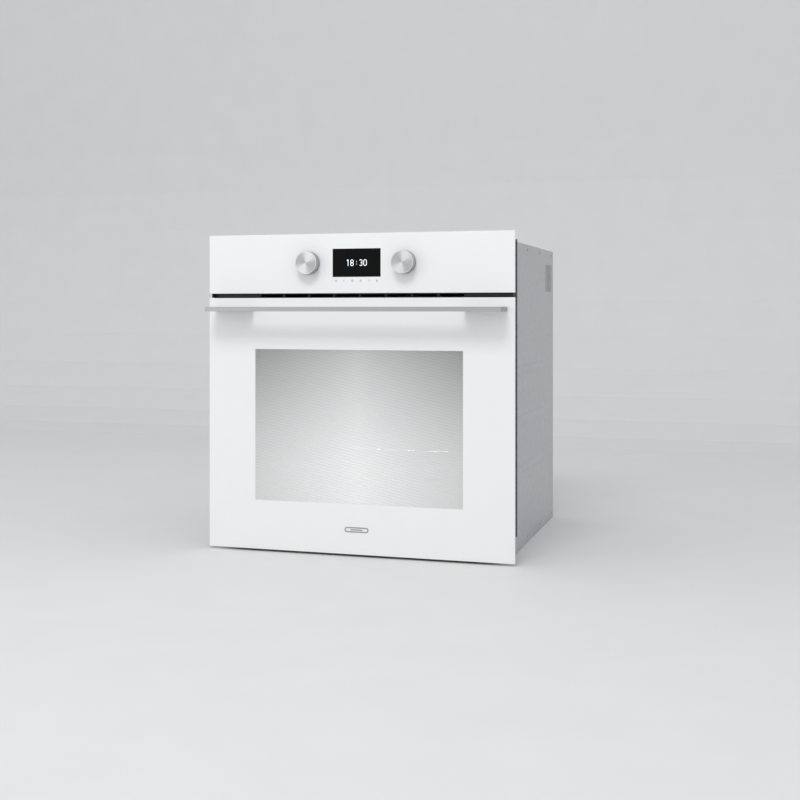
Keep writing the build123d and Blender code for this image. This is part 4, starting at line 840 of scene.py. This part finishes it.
def cavity_rows():
    """Pressed beads across the cavity floor, and the fan cover's four screws."""
    base = (0, cavity_low[1] + FLOOR_BEAD_START, cavity_low[2] + SHEET)
    ribs = row(base, (0, FLOOR_BEAD_PITCH, 0), FACING_UP, 5, FLOOR_BEAD_LENGTH, *FLOOR_BEAD)
    row_piece(BEADS, [ribs], "floor_beads", "enamel")
    corner = FAN_SCREW_INSET
    step = (fan_high[0] - fan_low[0] - 2 * corner, 0, 0)
    pairs = []
    for z in (fan_low[2] + corner, fan_high[2] - corner):
        start = (fan_low[0] + corner, fan_low[1], z)
        pairs.append(screw_rows(start, step, FACING_FRONT_OR_BACK, 2, (0, -1, 0), FAN_SCREW, FAN_CROSS))
    row_piece(BEADS, [screws for screws, _ in pairs], "fan_cover_screws", "stainless")
    # The near-black seal finish on the crosses is painted shade for the recesses.
    row_piece(CROSS_RECESS_SHADES, [cross for _, cross in pairs], "fan_cover_recess_shade", "seal")


def hinge_springs():
    """The two door springs, coiled from wire and riding on the door, in place of the plain springs part."""
    low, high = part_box("hinge_springs")
    wire = SPRING_WIRE / 2
    coil = (high[1] - low[1]) / 2 - wire
    springs = []
    for x in (low[0] + coil + wire, high[0] - coil - wire):
        base = (x, (low[1] + high[1]) / 2, low[2] + wire)
        springs.append({"Base": base, "Turns": SPRING_TURNS, "Coil Radius": coil,
                        "Wire Radius": wire, "Height": high[2] - low[2] - 2 * wire})
    steel = FINISH["spring_steel"]
    mesh = baked_rows(build_spring_tree(), springs, steel, "door_springs")
    piece = finish_piece(mesh, "door_springs", steel, "door", True)
    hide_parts("hinge_springs")
    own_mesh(piece)


casing_rows()
cavity_rows()
hinge_springs()

# ------------------------------------------------------------------ prints and display
INK = moulded("grey_ink", (0.27, 0.27, 0.275), 0.5, 900.0, 0.1)
LIT = glowing("lit_digits", (0.95, 0.97, 1.0), 1.0)


def clock_digits():
    """The time on the display, in thin strokes: a one, an eight, a colon, a three and a nought."""
    form = bmesh.new()
    line, bowl = DIGIT_LINE, DIGIT_BOWL
    middle = (DISPLAY_BASE + DISPLAY_TOP) / 2
    one, eight, colon, three, nought = (step * DIGIT_PITCH for step in (-1.95, -1.05, 0, 1.0, 2.0))
    printed(form, stroke((one, middle - DIGIT_HALF), (one, middle + DIGIT_HALF), line))
    printed(form, stroke((one - 2.4 * MM, middle + 3.8 * MM), (one, middle + 5.6 * MM), line))
    for rise in (-bowl, bowl):
        ring_strokes(form, (eight, middle + rise), bowl, line)
        begin = 90 if rise < 0 else 150
        ring_strokes(form, (three, middle + rise), bowl, line, begin, begin - 240, 14)
        printed(form, rounded_bar((colon, middle + rise * 0.9), line * 1.4, line * 1.3))
        begin = 0 if rise > 0 else 180
        ring_strokes(form, (nought, middle + rise), bowl, line, begin, begin + 180, 12)
    for side in (-bowl, bowl):
        printed(form, stroke((nought + side, middle - bowl), (nought + side, middle + bowl), line))
    finish_piece(mesh_of(form, "clock_digits"), "clock_digits", LIT, "casing")


def power_sign(form, x, z, half):
    """An open ring with an upright stroke."""
    ring_strokes(form, (x, z), half, SYMBOL_LINE, 120, 420)
    printed(form, stroke((x, z), (x, z + half * 1.2), SYMBOL_LINE))


def arrow_sign(form, x, z, tip):
    """An arrow head pointing along the sign of its tip."""
    for rise in (-abs(tip), abs(tip)):
        printed(form, stroke((x + tip, z), (x - tip * 0.4, z + rise), SYMBOL_LINE))


def clock_sign(form, x, z, half):
    """A ring with two hands."""
    ring_strokes(form, (x, z), half, SYMBOL_LINE)
    for end in ((x, z + half * 0.7), (x + half * 0.6, z)):
        printed(form, stroke((x, z), end, SYMBOL_LINE))


def list_sign(form, x, z, half):
    """Three level bars."""
    for rise in (-half * 0.7, 0, half * 0.7):
        printed(form, stroke((x - half, z + rise), (x + half, z + rise), SYMBOL_LINE))


def lock_sign(form, x, z, half):
    """A closed padlock."""
    ring_strokes(form, (x, z + half * 0.3), half * 0.5, SYMBOL_LINE, 0, 180, 10)
    printed(form, rounded_bar((x, z - half * 0.4), SYMBOL_SIZE * 0.8, half))


def touch_symbols():
    """Six small printed signs in a row under the display."""
    form = bmesh.new()
    half = SYMBOL_SIZE / 2
    signs = ((power_sign, half), (arrow_sign, -half), (clock_sign, half),
             (list_sign, half), (arrow_sign, half), (lock_sign, half))
    for index, (sign, size) in enumerate(signs):
        sign(form, (index - 2.5) * SYMBOL_PITCH, SYMBOL_HEIGHT, size)
    finish_piece(mesh_of(form, "touch_symbols"), "touch_symbols", INK, "casing")


def door_mark():
    """A plain rounded outline with a bar in it, printed under the window."""
    form = bmesh.new()
    width, height = MARK_SIZE
    outer = rounded_bar((0, MARK_HEIGHT), width, height)
    inner = rounded_bar((0, MARK_HEIGHT), width - 2 * MARK_LINE, height - 2 * MARK_LINE)
    for index in range(len(outer)):
        after = (index + 1) % len(outer)
        printed(form, [outer[index], outer[after], inner[after], inner[index]])
    printed(form, rounded_bar((0, MARK_HEIGHT), width * 0.5, MARK_LINE))
    finish_piece(mesh_of(form, "door_mark"), "door_mark", INK, "door")


clock_digits()
touch_symbols()
door_mark()

# ------------------------------------------------------------------ light, floor and camera
LENS = 54.05  # millimetres, as the sensor's width
SENSOR = 36.0
CAMERA_PLACE = (0.7084, -2.3875, 0.458)
CAMERA_TURN = radians(16.5)
HORIZON_SHIFT = -0.1133
FLOOR_HALF = 8.0
FLOOR_DROP = 0.5 * MM
BEND_START = 1.6
BEND_RADIUS = 1.2
BEND_STEPS = 10
BACKDROP_TOP = 6.0


def floor():
    """A pale floor that curves up behind the oven."""
    made, tree, shader = start_material("pale_floor", Roughness=0.7)
    place = object_place(tree)[0]
    cloud = use_grain(tree, place, (3, 3, 3))[1]
    join(tree, mix(tree, cloud, (0.72, 0.72, 0.722), (0.76, 0.76, 0.76)), shader.inputs["Base Color"])
    form = bmesh.new()
    profile = [(-FLOOR_HALF, 0.0)]
    profile += arc_points((BEND_START, BEND_RADIUS), BEND_RADIUS, -90, 0, BEND_STEPS)
    profile += [(BEND_START + BEND_RADIUS, BACKDROP_TOP)]
    sides = (-FLOOR_HALF, FLOOR_HALF)
    left, right = [[form.verts.new((x, y, z - FLOOR_DROP)) for y, z in profile] for x in sides]
    for index in range(len(profile) - 1):
        form.faces.new((left[index], right[index], right[index + 1], left[index + 1]))
    mesh = bpy.data.meshes.new("floor")
    form.to_mesh(mesh)
    form.free()
    mesh.materials.append(made)
    piece = bpy.data.objects.new("floor", mesh)
    bpy.context.scene.collection.objects.link(piece)


def soft_light(name, place, aim, size, power):
    """A rectangular light at a place, turned towards its aim; power in watts."""
    lamp = bpy.data.lights.new(name, "AREA")
    lamp.shape = "RECTANGLE"
    lamp.size, lamp.size_y = size
    lamp.energy = power
    holder = bpy.data.objects.new(name, lamp)
    holder.location = place
    holder.rotation_euler = (Vector(aim) - Vector(place)).to_track_quat("-Z", "Y").to_euler()
    bpy.context.scene.collection.objects.link(holder)


def camera():
    """A level camera whose shifted lens keeps upright edges upright."""
    lens = bpy.data.cameras.new("camera")
    lens.lens = LENS
    lens.sensor_width = SENSOR
    lens.shift_y = HORIZON_SHIFT
    holder = bpy.data.objects.new("camera", lens)
    holder.location = CAMERA_PLACE
    holder.rotation_euler = (pi / 2, 0, CAMERA_TURN)
    bpy.context.scene.collection.objects.link(holder)
    bpy.context.scene.camera = holder


floor()
soft_light("top_front", (0.1, -2.2, 2.7), (0, -0.25, 0.3), size=(1.1, 0.8), power=29)
soft_light("left_fill", (-2.4, -2.4, 1.2), (0, 0, 0.3), size=(2.0, 2.0), power=9.5)
cavity_front = (0, cavity_low[1] + 35 * MM, cavity_high[2] - 30 * MM)
cavity_aim = (0, cavity_low[1] + 90 * MM, cavity_low[2] + 120 * MM)
soft_light("cavity_light", cavity_front, cavity_aim, size=(0.40, 0.03), power=0.9)
world = bpy.data.worlds.new("studio")
world.use_nodes = True
background = world.node_tree.nodes["Background"]
background.inputs["Color"].default_value = (0.93, 0.94, 0.95, 1)
background.inputs["Strength"].default_value = 0.82
bpy.context.scene.world = world
bpy.context.scene.view_settings.view_transform = "Standard"
camera()
